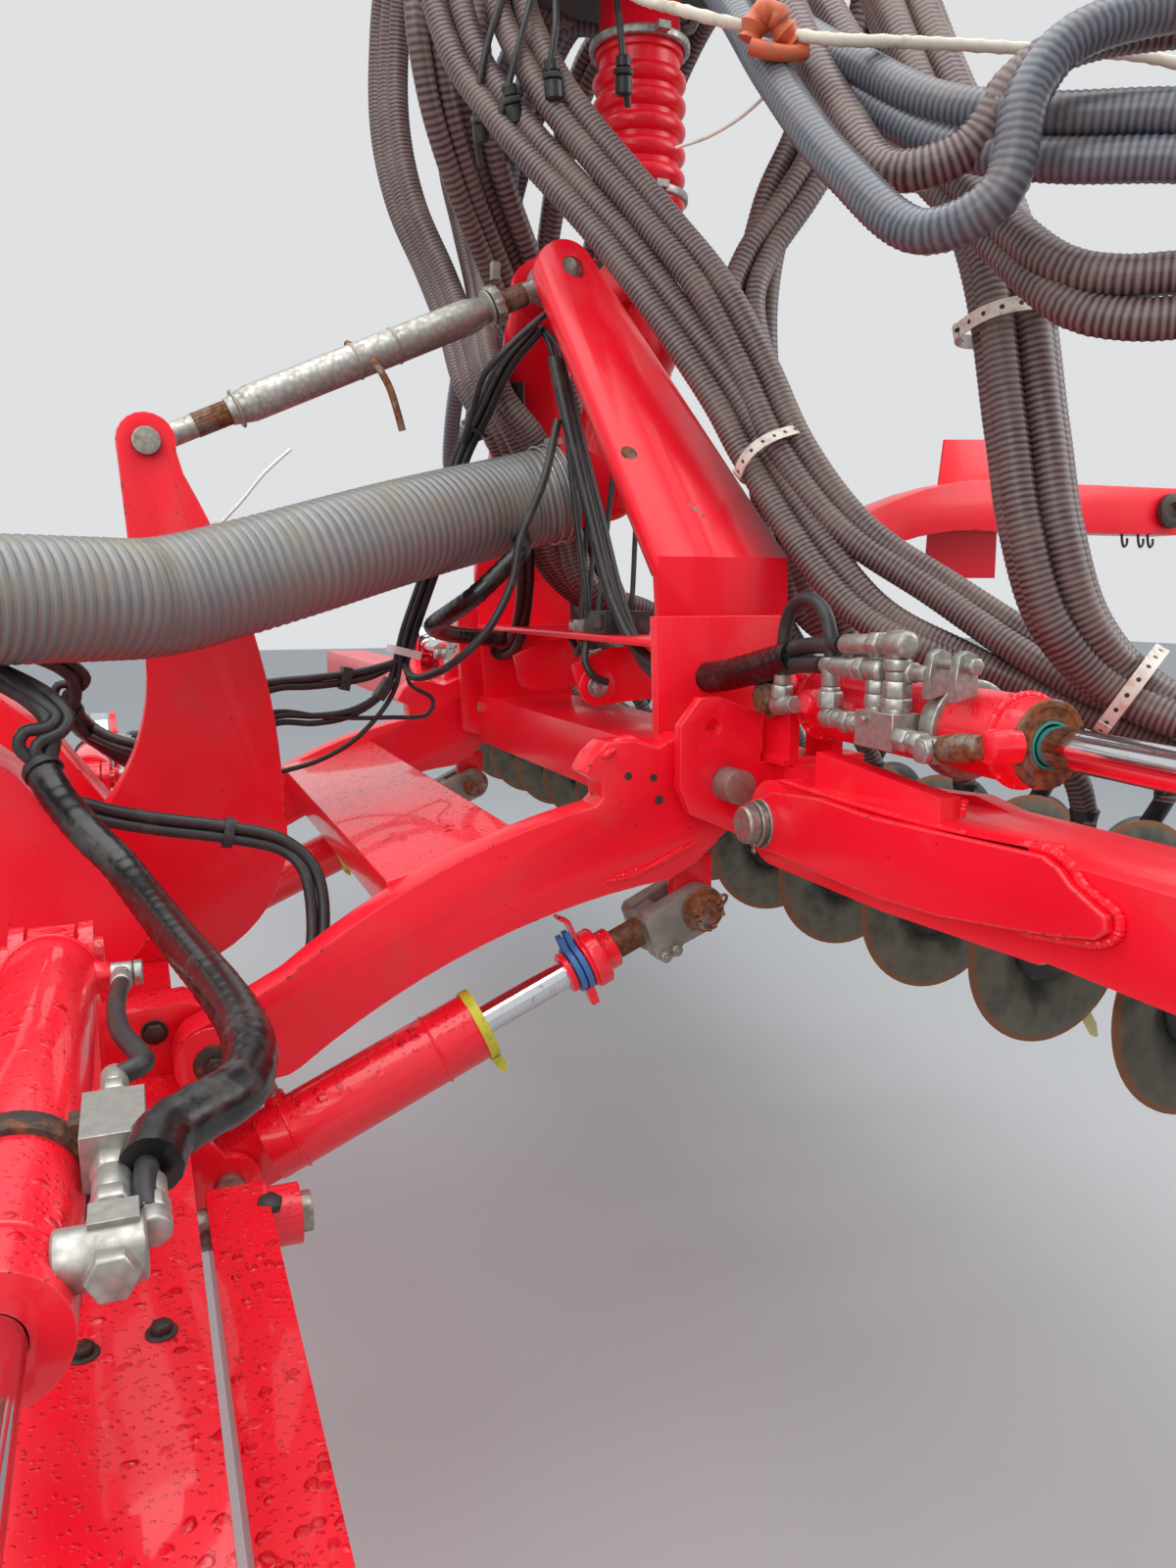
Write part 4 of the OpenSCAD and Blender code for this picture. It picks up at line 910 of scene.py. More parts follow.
def build_air_hose(settings):
    """The wide grey air hose, in two lengths, so that each spans one joint."""
    whole = hose("air_hose.look", [AIR_HOSE_ROUTE], AIR_HOSE_WIDTH, AIR_HOSE, None, None,
                 pitch=settings.air_hose_pitch / MM, depth=4.5, rings=4, crest=2, sides=40,
                 replaces=("air_hose",))
    rear = whole.copy()
    rear.data = whole.data.copy()
    rear.name = "air_hose.rear"
    bpy.context.scene.collection.objects.link(rear)
    for piece, keep_low in ((whole, True), (rear, False)):
        bm = bmesh.new()
        bm.from_mesh(piece.data)
        layer = bm.verts.layers.float["along"]
        doomed = []
        for face in bm.faces:
            is_low = sum(v[layer] for v in face.verts) / len(face.verts) < AIR_HOSE_PARTING
            if is_low != keep_low:
                doomed.append(face)
        bmesh.ops.delete(bm, geom=doomed, context="FACES")
        rim = [e for e in bm.edges if e.is_boundary]
        for e in rim:
            e.smooth = False
        for face in bmesh.ops.holes_fill(bm, edges=rim, sides=0)["faces"]:
            face.smooth = False
        bm.to_mesh(piece.data)
        bm.free()
    bend(whole, "carrier", "top_link", (700, 0, 600), (1000, 0, 690))
    bend(rear, "top_link", "bar", (1040, 0, 700), (1370, 0, 790))


def build_discs():
    """Coulter discs and press wheels, one piece for each rank that turns together."""
    disc = Shape()
    disc.lathe((0, 2, 0), (0, -1, 0), [(0, 12), (0, 60), (2, 70), (16, 100), (19, 140), (13, 160), (12, 165),
                                       (15, 165), (22, 140), (20, 101), (5, 72), (4, 12)], 56)
    disc_base = disc.finish("disc.base", DISC, None, smooth=50)
    layer = disc_base.data.attributes.new("out", "FLOAT", "POINT")
    for v in disc_base.data.vertices:
        layer.data[v.index].value = math.hypot(v.co.x, v.co.z) / (DISC_RADIUS * MM)
    hub = Shape()
    hub.lathe((0, 2, 0), (0, 1, 0), [(0, 55), (3, 55), (4.6, 50), (4.7, 12)], 32)
    hub.lathe((0, -8, 0), (0, -1, 0), [(0, 62), (10, 58), (22, 40), (26, 38), (34, 22), (34, 6)], 32)
    hub.lathe((0, 6, 0), (0, 1, 0), [(0, 12), (43, 12)], 16)
    hub.bolt((0, 49, 0), (0, 1, 0), 18)
    for k in range(5):
        angle = 2 * math.pi * k / 5
        hub.nut((48 * math.cos(angle), -12, 48 * math.sin(angle)), (0, -1, 0), 10, 6)
    hub_base = hub.finish("hub.base", BLACK, None, bevel=0)
    tyre = Shape()
    tyre.lathe((0, -24, 0), (0, 1, 0), [(-18, 60), (-18, 92), (-16, 108), (-8, 121), (0, 125), (8, 121),
                                        (16, 108), (18, 92), (18, 60)], 44)
    tyre_base = tyre.finish("tyre.base", RUBBER, None)
    rim = Shape()
    rim.lathe((0, -24, 0), (0, 1, 0), [(-14, 12), (-14, 20), (-10, 26), (-6, 62), (6, 62), (10, 26), (14, 20),
                                       (14, 12)], 40)
    rim.lathe((0, -24, 0), (0, 1, 0), [(0, 12), (65, 12)], 16)
    rim.bolt((0, -38, 0), (0, -1, 0), 16)
    rim_base = rim.finish("rim.base", BLACK, None)
    for part in ("centre", "left", "right"):
        for rank, x in RANKS.items():
            ys = sorted(sign * row_y(k) for side, sign in SIDES.items() for k in range(ROWS_PER_SIDE)
                        if rank_x(side, k) == x)
            rows = [y for y in ys
                    if part == ("left" if y < -WING_START else "right" if y > WING_START else "centre")]
            disc_place = (x, 10)
            press_place = (x + PRESS_BEHIND, -15)
            for kind, shape, material, slot, place, suffix in (
                    ("discs", disc_base, DISC, "disc_steel", disc_place, ""),
                    ("discs", hub_base, BLACK, "black_paint", disc_place, ".hubs"),
                    ("press", tyre_base, RUBBER, "press_rubber", press_place, ""),
                    ("press", rim_base, BLACK, "black_paint", press_place, ".rims")):
                node = f"{kind}_{part}_{rank}"
                source = link("row.line", bpy.data.meshes.new("row.line"))
                mesh = grown(source, TREES["row"], {
                    "Piece": shape, "Count": len(rows), "Start": (place[0] * MM, rows[0] * MM, place[1] * MM),
                    "Step": (0, 2 * ROW_SPACING * MM, 0), "Material": material})
                bpy.data.objects.remove(source)
                piece = link(node + (suffix or ".look"), mesh)
                ready(piece, material, node, 45, () if suffix else (node,))
    for piece in (disc_base, hub_base, tyre_base, rim_base):
        bpy.data.objects.remove(piece)


def round_weld(shape, centre, radius, bead):
    """A weld bead all round a barrel that lies along Y."""
    x, y, z = centre
    angles = [math.pi * k / 12 for k in range(25)]
    ring = [(x + radius * math.cos(angle), y, z + radius * math.sin(angle)) for angle in angles]
    return shape.weld(ring, bead)


def fold_z(y):
    """Height of a bar wing's fold cylinder at a distance outwards."""
    return 450 - (y - 690) / 40


def front_z(y):
    """Height of a front wing's fold cylinder at a distance outwards."""
    return 175 - (y - 700) / 30


def along(shape, points, parts, sides=20):
    """Fittings on a line from the first point to the second, as (start, end, radius, hexagon or not)."""
    start, end = Vector(points[0]), Vector(points[1])
    way = (end - start).normalized()
    for low, high, radius, hexagon in parts:
        if hexagon:
            shape.nut(start + way * low, way, radius * math.sqrt(3), high - low)
        else:
            chamfer = min(1.5, (high - low) / 4)
            shape.rod(start + way * low, start + way * high, radius, sides, chamfer)
    return shape


def build_fold_fittings(side):
    """Valve block, pipe fittings, clamp, gland and hoses on the front of a bar wing's fold cylinder."""
    barrel = "fold_barrel_" + side
    fittings = Shape()
    fittings.box((1424, 953, 415), (1464, 1029, 459))
    fittings.rod((1424, 975, 449), (1418, 975, 449), 4, 12, 1)
    along(fittings, ((1440, 973, 457), (1440, 973, 530)), [(0, 8, 13, 0), (6, 22, 15, 1), (22, 39, 14, 1),
                                                           (39, 60, 11, 0)])
    along(fittings, ((1442, 1010, 457), (1442, 1010, 560)), [(0, 8, 17, 0), (5, 20, 19, 1), (20, 40, 18, 1),
                                                             (40, 52, 14, 0), (52, 66, 17, 0),
                                                             (66, 88, 13, 0)])
    fittings.lathe((1442, 1032, 540), (0, -1, 0), [(0, 11), (4, 16), (20, 17), (34, 16), (40, 13)], 20)
    along(fittings, ((1442, 1000, 539), (1442, 890, 535)), [(0, 22, 13, 0), (18, 40, 17, 1),
                                                            (38, 100, 13, 0)])
    fittings.lathe((1440, 988, 507), (0, -1, 0), [(0, 9), (4, 14), (26, 14), (30, 11)], 20)
    along(fittings, ((1440, 965, 508), (1440, 850, 507)), [(0, 15, 11, 0), (12, 30, 16, 1), (30, 34, 14, 0),
                                                           (34, 106, 12, 0)])
    along(fittings, ((1448, 985, 507), (1456, 1056, 507)), [(0, 30, 9, 0), (24, 44, 14, 1), (42, 66, 10, 0)])
    along(fittings, ((1440, 955, 437), (1440, 880, 440)), [(0, 16, 14, 1), (14, 34, 12, 0), (32, 50, 15, 1),
                                                           (48, 70, 12, 0)])
    fittings.lathe((1440, 890, 440), (0, -1, 0), [(0, 13), (22, 14), (32, 9)], 20)
    along(fittings, ((1440, 874, 438), (1440, 872, 520)), [(0, 16, 12, 0), (14, 36, 17, 1), (34, 42, 13, 0),
                                                           (42, 80, 12, 0)])
    along(fittings, ((1440, 752, 448), (1440, 755, 500)), [(0, 8, 12, 0), (6, 26, 16, 1), (26, 50, 12, 0)])
    fittings.lathe((1440, 738, 444), (0, 1, 0.1), [(0, 9), (4, 14), (30, 14), (34, 12), (52, 12)], 20)
    along(fittings, ((1434, 1028, 431), (1434, 1112, 427)), [(0, 24, 15, 1), (24, 30, 12, 0), (30, 48, 15, 1),
                                                             (48, 70, 12, 0)])
    fittings.box((1420, 1088, 412), (1447, 1112, 440))
    fittings.bolt((1420, 1100, 426), (-1, 0, 0), 17, washer=False)
    # Saddle clamp with its two ears and bolt
    fittings.lathe((FOLD_X, 1034, 441), (0, 1, -0.025), [(0, 49), (0, 58), (2, 60), (24, 60), (26, 58),
                                                         (26, 49)],
                   48, ring=True)
    for y in (1052, 1098):
        fittings.plate([(1452, 478), (1482, 486), (1480, 530), (1466, 536), (1454, 530), (1450, 505)],
                       (y - 7, y + 7))
    fittings.rod((1466, 1035, 519), (1466, 1118, 519), 6, 12, 1)
    fittings.nut((1466, 1112, 519), (0, 1, 0), 18, 9)
    fittings.finish(f"fold_fittings_{side}.zinc", ZINC, barrel, side, 1.2, 1)
    dark = Shape()
    along(dark, ((1434, 1108, 428), (1438, 1172, 438)), [(0, 46, 16, 0), (44, 62, 14, 0)])
    dark.bolt((1460, 690, 450), (-1, 0, 0), 26)
    dark.finish(f"fold_fittings_{side}.rusty", RUST, barrel, side, 0.8, 1)
    red = Shape()
    red.lathe((1474, 1172, 438), (-1, 0, 0), [(0, 22), (20, 20), (34, 18), (36, 14)], 24)
    red.lathe((1474, 797, 452), (-1, 0, 0), [(0, 20), (20, 18), (26, 14)], 24)
    for y in (758, 1146):
        round_weld(red, (FOLD_X, y, fold_z(y)), 51, 4.5)
    red.finish(f"fold_fittings_{side}.bosses", WET, barrel, side, 0)
    gland = Shape()
    profile = [(0, 24), (0, 49.5), (10.5, 49.5), (12, 48), (12, 42), (10.5, 41), (10.5, 31), (13, 30),
               (13, 26), (6, 23.5)]
    gland.lathe((FOLD_X, 1172, 438), (0, 1, -0.025), profile, 64, ring=True)
    gland.finish(f"fold_gland_{side}", RUST, barrel, side, 0)
    # Dark discs fill the gland's four holes: painted shade standing in for the hollows.
    holes = Shape()
    for angle in (20, 110, 200, 290):
        ahead, up = math.cos(math.radians(angle)), math.sin(math.radians(angle))
        holes.lathe((FOLD_X + 45 * ahead, 1178, 438 + 45 * up), (0, 1, 0), [(0, 3.6), (6.6, 3.6)], 12)
    holes.finish(f"fold_gland_{side}.holes", DARK, barrel, side, 0)
    ring = Shape()
    ring.lathe((FOLD_X, 1180, 438), (0, 1, -0.025), [(0, 23), (0, 26.4), (6.5, 26.4), (6.5, 23.6)], 48,
               ring=True)
    ring.finish(f"fold_gland_{side}.seal", TEAL, barrel, side, 0)
    loop = Shape()
    loop.tube([(1440, 872, 510), (1440, 870, 545), (1440, 852, 577), (1440, 813, 592), (1440, 775, 580),
               (1440, 757, 548), (1440, 755, 492)], 9.5, 14, 8)
    loop.finish(f"fold_loop_{side}", RUBBER, barrel, side, 0, slot="press_rubber")
    for name, points in (("upper", [(1330, 130, 1010), (1345, 160, 900), (1375, 205, 720), (1392, 255, 590),
                                    (1402, 345, 505), (1412, 480, 474), (1425, 600, 484), (1438, 700, 506),
                                    (1442, 800, 528), (1442, 892, 535)]),
                         ("lower", [(1345, 115, 1010), (1362, 150, 900), (1392, 200, 720), (1408, 260, 575),
                                    (1414, 350, 482), (1420, 480, 454), (1430, 600, 467), (1438, 700, 487),
                                    (1440, 790, 503), (1440, 852, 507)])):
        pipe = Shape()
        pipe.tube(points, 11.5, 14, 9)
        piece = pipe.finish(f"fold_hose_{side}.{name}", RUBBER, None, side, 0, slot="press_rubber")
        bend(piece, "bar", barrel, *FOLD_BEND, side)
    sleeve = Shape()
    sleeve.tube([(1412, 470, 466), (1425, 600, 476), (1437, 700, 496), (1441, 780, 514)], 23, 18, 3,
                lambda place, d: 1.0 + 0.05 * ((d / 21) % 1.0) - 0.05 * (place > 0.98))
    piece = sleeve.finish(f"fold_hose_{side}.sleeve", WRAP, None, side, 0, slot="press_rubber")
    bend(piece, "bar", barrel, *FOLD_BEND, side)


LIFT = Matrix.Translation(LIFT_FRONT) @ Matrix.Rotation(-math.atan2(LIFT_REACH.z, LIFT_REACH.x), 4, "Y")


def lift(d, y=0, n=0):
    """A place on a lift cylinder: d from its front pin along it, y outwards, n square to it."""
    return LIFT @ Vector((d, y, n))


def build_lift_cylinders(side):
    """A lift cylinder's rod with its flange, clips, thread and clevis, and its barrel's welds and port."""
    barrel, rod = "lift_barrel_" + side, "lift_rod_" + side
    way = LIFT_REACH.normalized()
    shaft = Shape()
    shaft.lathe(lift(225), way, [(0, 18), (3, 21), (345, 21)], 40)
    shaft.finish(rod + ".look", CHROME, rod, side, slot="rod_chrome", replaces=(rod,))
    red = Shape()
    red.lathe(lift(571), way, [(0, 41), (2, 44), (21, 44), (24, 41), (24, 32), (26, 31), (44, 31), (46, 28)],
              40)
    red.plate([(566, 20), (571, 20), (571, 74), (560, 86), (555, 84), (566, 70)], (-12, 12), LIFT)
    red.plate([(548, -58), (560, -58), (562, -30), (548, -30)], (6, 22), LIFT)
    red.finish(rod + ".flange", WET, rod, side, 0.8, 1)
    for name, material, rings in (("red", PAINT, ((533, 31), (566, 39))),
                                  ("blue", BLUE, ((544, 36), (555, 38)))):
        clip = Shape()
        for d, r in rings:
            wide = 5 if d == 566 else 9
            clip.lathe(lift(d), way, [(0, 21.3), (0, r - 1), (1, r), (wide - 1, r), (wide, r - 1),
                                      (wide, 21.3)], 32)
            if name == "blue":
                for y in (-9, 5):
                    clip.box((d, y, r - 3), (d + 8, y + 6, r + 20), LIFT)
        clip.finish(f"{rod}.{name}_clips", material, rod, side)
    thread = Shape()
    turns = [(0, 22)]
    for k in range(24):
        turns += [(k * 3 + 0.8, 22.4), (k * 3 + 1.8, 22.4), (k * 3 + 2.3, 20.4), (k * 3 + 2.8, 20.4)]
    thread.lathe(lift(612), way, turns, 24)
    thread.lathe(lift(LIFT_EYE, 46), (0, 1, 0), [(0, 30), (0, 33), (1, 34), (4, 34), (5, 33)], 36)
    thread.nut(lift(LIFT_EYE, 51), (0, 1, 0), 46, 13)
    thread.lathe(lift(LIFT_EYE, 64), (0, 1, 0), [(0, 17), (6, 17), (8, 15)], 24)
    for k in range(6):
        ahead, up = 21.5 * math.cos(math.pi * k / 3 + 0.5), 21.5 * math.sin(math.pi * k / 3 + 0.5)
        thread.box((LIFT_EYE + ahead - 4, 63, up - 4), (LIFT_EYE + ahead + 4, 70, up + 4), LIFT)
    thread.tube([lift(732, 67), lift(LIFT_EYE, 68), lift(782, 67, 2), lift(790, 66, 9), lift(784, 66, 14),
                 lift(776, 67, 8)], 2.6, 8, 5)
    thread.tube([lift(733, 68, -4), lift(736, 71, -16), lift(746, 71, -24)], 2.6, 8, 5)
    thread.lathe(lift(LIFT_EYE, -46), (0, -1, 0), [(0, 30), (4, 31), (8, 28)], 32)
    thread.finish(rod + ".thread", RUST, rod, side, 0)
    clevis = Shape()
    angles = [math.radians(-82 + 11 * k) for k in range(16)]
    eye = [(LIFT_EYE + 36 * math.cos(angle), 36 * math.sin(angle)) for angle in angles]
    for y in (16, -46):
        clevis.plate([(664, 26), (672, 34), (700, 35)] + eye[::-1]
                     + [(706, -34), (690, -44), (668, -44), (660, -34)], (y, y + 30), LIFT)
    clevis.plate([(664, 30), (700, 34), (708, 24), (708, -24), (700, -36), (664, -36)], (-17, 17), LIFT)
    for d in (671, 691):
        clevis.rod(lift(d, 46, -34), lift(d, 57, -34), 8.5, 16, 2)
        clevis.rod(lift(d, 57, -34), lift(d, 60, -34), 4.5, 12, 1)
    clevis.finish(rod + ".clevis", GREY_TUBE, rod, side, 2.2, 2)
    rings = Shape()
    square = lift(0, 0, 1) - lift(0)
    for d in (98, 318):
        rings.weld([lift(d) + Vector((0, 50.2 * math.cos(angle), 0)) + square * (50.2 * math.sin(angle))
                    for angle in (math.pi * k / 12 for k in range(25))], 2.2)
    rings.lathe(lift(96, -14, 46), square, [(0, 16), (10, 15), (12, 12)], 20)
    rings.finish(barrel + ".welds", WET, barrel, side, 0)
    port = Shape()
    along(port, (lift(96, -14, 55), lift(96, -14, 100)), [(0, 8, 11, 0), (6, 22, 13, 1), (22, 40, 11, 0)])
    port.lathe(lift(96, -14, 88), (0, -1, 0), [(-10, 10), (-6, 13), (8, 13), (12, 11), (34, 11)], 20)
    port.finish(barrel + ".port", ZINC, barrel, side, 0)
    clip = Shape()
    clip.lathe(lift(381), way, [(0, 49), (0, 52.5), (1, 53), (13, 53), (14.5, 52.5), (14.5, 23), (13, 23),
                                (13, 49)], 48, ring=True)
    clip.plate([(380, -50), (395, -50), (398, -66), (391, -78), (384, -70)], (10, 22), LIFT)
    clip.finish(barrel + ".clip", YELLOW, barrel, side, 0)


def build_front_corner(side):
    """Fittings, hoses, bolts and washers round a front wing's fold cylinder."""
    barrel = "front_barrel_" + side
    fittings = Shape()
    fittings.lathe((556, 785, 173), (1, 0, 0), [(0, 11), (1, 14), (24, 14), (26, 12)], 24)
    fittings.nut((582, 785, 173), (1, 0, 0), 26, 10)
    along(fittings, ((569, 792, 175), (569, 850, 181)), [(0, 10, 10, 0), (8, 24, 12, 1), (24, 56, 11.5, 0)])
    along(fittings, ((566, 1132, 193), (566, 1212, 190)), [(0, 30, 11.5, 0), (28, 46, 13, 1), (46, 62, 11, 0),
                                                           (58, 76, 15, 1)])
    fittings.box((544, 1206, 168), (590, 1290, 212))
    along(fittings, ((566, 1288, 189), (566, 1382, 186)), [(0, 24, 16, 1), (24, 56, 14, 0), (54, 72, 16, 1),
                                                           (72, 92, 13, 0)])
    fittings.lathe((530, 1396, 178), (1, 0, 0), [(0, 18), (2, 21), (56, 21), (58, 18)], 28)
    fittings.box((552, 1372, 193), (584, 1400, 203))
    fittings.nut((566, 1414, 178), (0, 1, 0), 30, 16)
    along(fittings, ((592, 1330, 190), (592, 1392, 184)), [(0, 26, 10, 0), (26, 44, 12, 1), (44, 62, 12, 0)])
    fittings.bolt((590, 1248, 196), (1, 0, 0), 12, washer=False)
    fittings.finish(f"front_fittings_{side}", ZINC, barrel, side, 1.2, 1)
    band = Shape()
    band.lathe((FRONT_X, 1222, 157.5), (0, 1, -0.033), [(0, 49), (0, 55), (1, 56), (29, 56), (30, 55),
                                                        (30, 49)], 48, ring=True)
    band.box((535, 1224, 172), (560, 1250, 206))
    band.finish(f"front_clamp_{side}", DARK, barrel, side, 1.0, 1)
    red = Shape()
    for y, x in ((785, 558), (1396, 532)):
        red.lathe((x, y, front_z(y)), (-1, 0, 0), [(0, 15), (2, 17), (22, 20)], 24)
    for y in (775, 1378):
        round_weld(red, (FRONT_X, y, front_z(y)), 50.5, 2.4)
    red.finish(f"front_fittings_{side}.bosses", WET, barrel, side, 0)
    pipe = Shape()
    pipe.tube([(569, 848, 181), (567, 900, 188), (566, 980, 196), (572, 1050, 199), (585, 1098, 198),
               (590, 1122, 197), (580, 1136, 197), (567, 1140, 194)], 9.5, 12, 8)
    pipe.finish(f"front_hose_{side}.short", RUBBER, barrel, side, 0, slot="press_rubber")
    for name, radius, material, points, turns in (
            ("sleeve", 23, WRAP, [(475, 420, 367), (499, 460, 326), (534, 520, 287), (568, 560, 254),
                                  (600, 640, 222), (634, 790, 204), (662, 960, 204), (676, 1072, 203),
                                  (676, 1160, 202), (660, 1218, 200), (627, 1252, 200), (602, 1280, 199),
                                  (592, 1320, 196)],
             lambda place, d: 1.0 + 0.06 * ((d / 24) % 1.0)),
            ("pair", 9, RUBBER, [(590, 1310, 198), (588, 1350, 192), (590, 1372, 188)], None)):
        tube = Shape()
        tube.tube(points, radius, 14, 8, turns)
        piece = tube.finish(f"front_hose_{side}.{name}", material, None, side, 0, slot="press_rubber")
        bend(piece, "carrier", barrel, (660, 900, 200), (600, 1260, 200), side)
    feed = Shape()
    feed.tube([(480, 426, 358), (471, 421, 370), (452, 424, 394), (460, 424, 414), (488, 420, 418),
               (500, 408, 432), (485, 396, 450), (462, 378, 468), (436, 350, 486), (400, 310, 505)],
              9, 10, 10)
    feed.tube([(486, 430, 352), (480, 424, 370), (472, 428, 390), (482, 426, 402), (504, 418, 410),
               (515, 405, 430), (498, 388, 455), (470, 362, 474), (430, 330, 494), (396, 296, 512)],
              9, 10, 10)
    feed.tube([(492, 438, 345), (486, 418, 370), (492, 410, 400), (488, 400, 430), (468, 380, 452),
               (440, 352, 470), (402, 318, 488)], 13, 12, 10)
    feed.lathe((482, 431, 357), (-0.42, -0.66, 0.62), [(0, 24), (0, 27), (10, 27), (10, 24)], 28, ring=True)
    feed.finish(f"front_hose_{side}.feed", RUBBER, "carrier", side, 0, slot="press_rubber")
    for number, drop in enumerate((0, -17)):
        pair = Shape()
        pair.tube([(502, 462, 322 + drop / 2), (524, 455, 318 + drop), (564, 432, 300 + drop),
                   (622, 420, 283 + drop), (718, 420, 263 + drop), (794, 430, 240 + drop),
                   (836 + drop, 446, 196), (842 + drop, 476, 120), (812 + drop / 2, 528, 42), (768, 580, -12),
                   (738, 598, -30), (728, 601, -42)], 9, 10, 10)
        piece = pair.finish(f"lift_hose_{side}.{number + 1}", RUBBER, None, side, 0, slot="press_rubber")
        bend(piece, "carrier", "lift_barrel_" + side, (830, 450, 200), (745, 595, -20), side)
    strap(f"lift_hose_{side}.clip", (718, 420, 254), (1, 0, -0.2), 20, 11, ("carrier",), side, BLACK, 14)
    tag = Shape()
    for k in range(5):
        y, x = 806 + 9 * k, 560 + 3 * math.sin(k)
        tag.box((x, y, 150 - 3 * k), (x + 1.4, y + 9.5, 178 - 3 * k))
    tag.finish(f"front_tag_{side}", WHITE, barrel, side, 0)
    bolts = Shape()
    for x, y in ((584, 945), (527, 1163), (590, 1156), (500, 985)):
        bolts.lathe((x, y, -41), (0, 0, 1), [(0, 14), (3, 14), (3.5, 13)], 20)
        bolts.nut((x, y, -38), (0, 0, 1), 17, 8)
    bolts.bolt((600, 573, 22), (0, 1, 0), 15)
    bolts.finish(f"front_bolts_{side}", DARK, "carrier", side, 0.8, 1)
    cover = Shape()
    cover.lathe((670, 656.8, 0), (0, 1, 0), [(0, 40), (0, 48), (2, 50), (4, 50), (5, 49), (5, 30)], 48)
    cover.finish(f"arm_pin_cover_{side}", WET, "carrier", side, 0)
    washer = Shape()
    washer.lathe((670, 661, 0), (0, 1, 0), [(0, 27), (3, 27), (4, 26)], 32)
    washer.bolt((670, 665, 0), (0, 1, 0), 14, washer=False, head=False)
    washer.bolt((716, 812, -128), (0, 0.3, 1), 17, washer=False)
    washer.finish(f"arm_pin_washer_{side}", DARK, "carrier", side, 0.8, 1)


def strap(name, centre, axis, wide, high, span, side, material=None, width=18):
    """A perforated strap that overlaps itself. Its span is one body, or two bodies and a bend's two ends."""
    w = Vector(axis).normalized()
    u = (Vector((1, 0, 0)) - w * w.x).normalized()
    v = w.cross(u)
    centre = Vector(centre)
    steps = 60
    overlap = 6
    verts, faces, travelled, values = [], [], 0.0, []
    last = None
    for i in range(steps + overlap + 1):
        a = 2 * math.pi * i / steps + 2.2
        grow = 1 + 0.05 * i / steps
        p = centre + u * (wide * grow * abs(math.cos(a)) ** 0.8 * math.copysign(1, math.cos(a)))
        p += v * (high * grow * abs(math.sin(a)) ** 0.8 * math.copysign(1, math.sin(a)))
        out = (p - centre).normalized()
        travelled += (p - last).length if last else 0
        last = p
        for lift_off, across in ((0, -1), (2.2, -1), (2.2, 1), (0, 1)):
            verts.append(p + out * lift_off + w * (across * width / 2))
            values.append((travelled * MM, across))
    for i in range(steps + overlap):
        for k in range(4):
            j = (k + 1) % 4
            faces.append([4 * i + k, 4 * i + j, 4 * i + 4 + j, 4 * i + 4 + k])
    last_ring = 4 * (steps + overlap)
    faces += [[3, 2, 1, 0], [last_ring, last_ring + 1, last_ring + 2, last_ring + 3]]
    band = Shape().add(verts, faces)
    piece = band.finish(name, material or STRAP, None if len(span) > 1 else span[0], side, 0)
    for index, label in enumerate(("along", "across")):
        layer = piece.data.attributes.new(label, "FLOAT", "POINT")
        for i, pair in enumerate(values):
            layer.data[i].value = pair[index]
    if len(span) > 1:
        bend(piece, *span, side)
    return piece


def build_straps(side):
    """Perforated straps round a side's fold bundle and high and low round its hanging bundle."""
    shift = Vector(HERE if side == "left" else RIGHT_SHIFT)
    span = ("bar", "wing_" + side, *WING_BEND)
    strap(f"strap_{side}.fold", (1586, 465, 820), (0.35, 0.6, -0.72), 70, 46, span, side)
    strap(f"strap_{side}.hanging", Vector((1646, 933, 932)) + shift, (0.08, 0.22, -0.97), 64, 54, span, side)
    strap(f"strap_{side}.low", Vector((1765, 1051, 480)) + shift, (0.56, 0.65, -0.51), 62, 54, span, side)


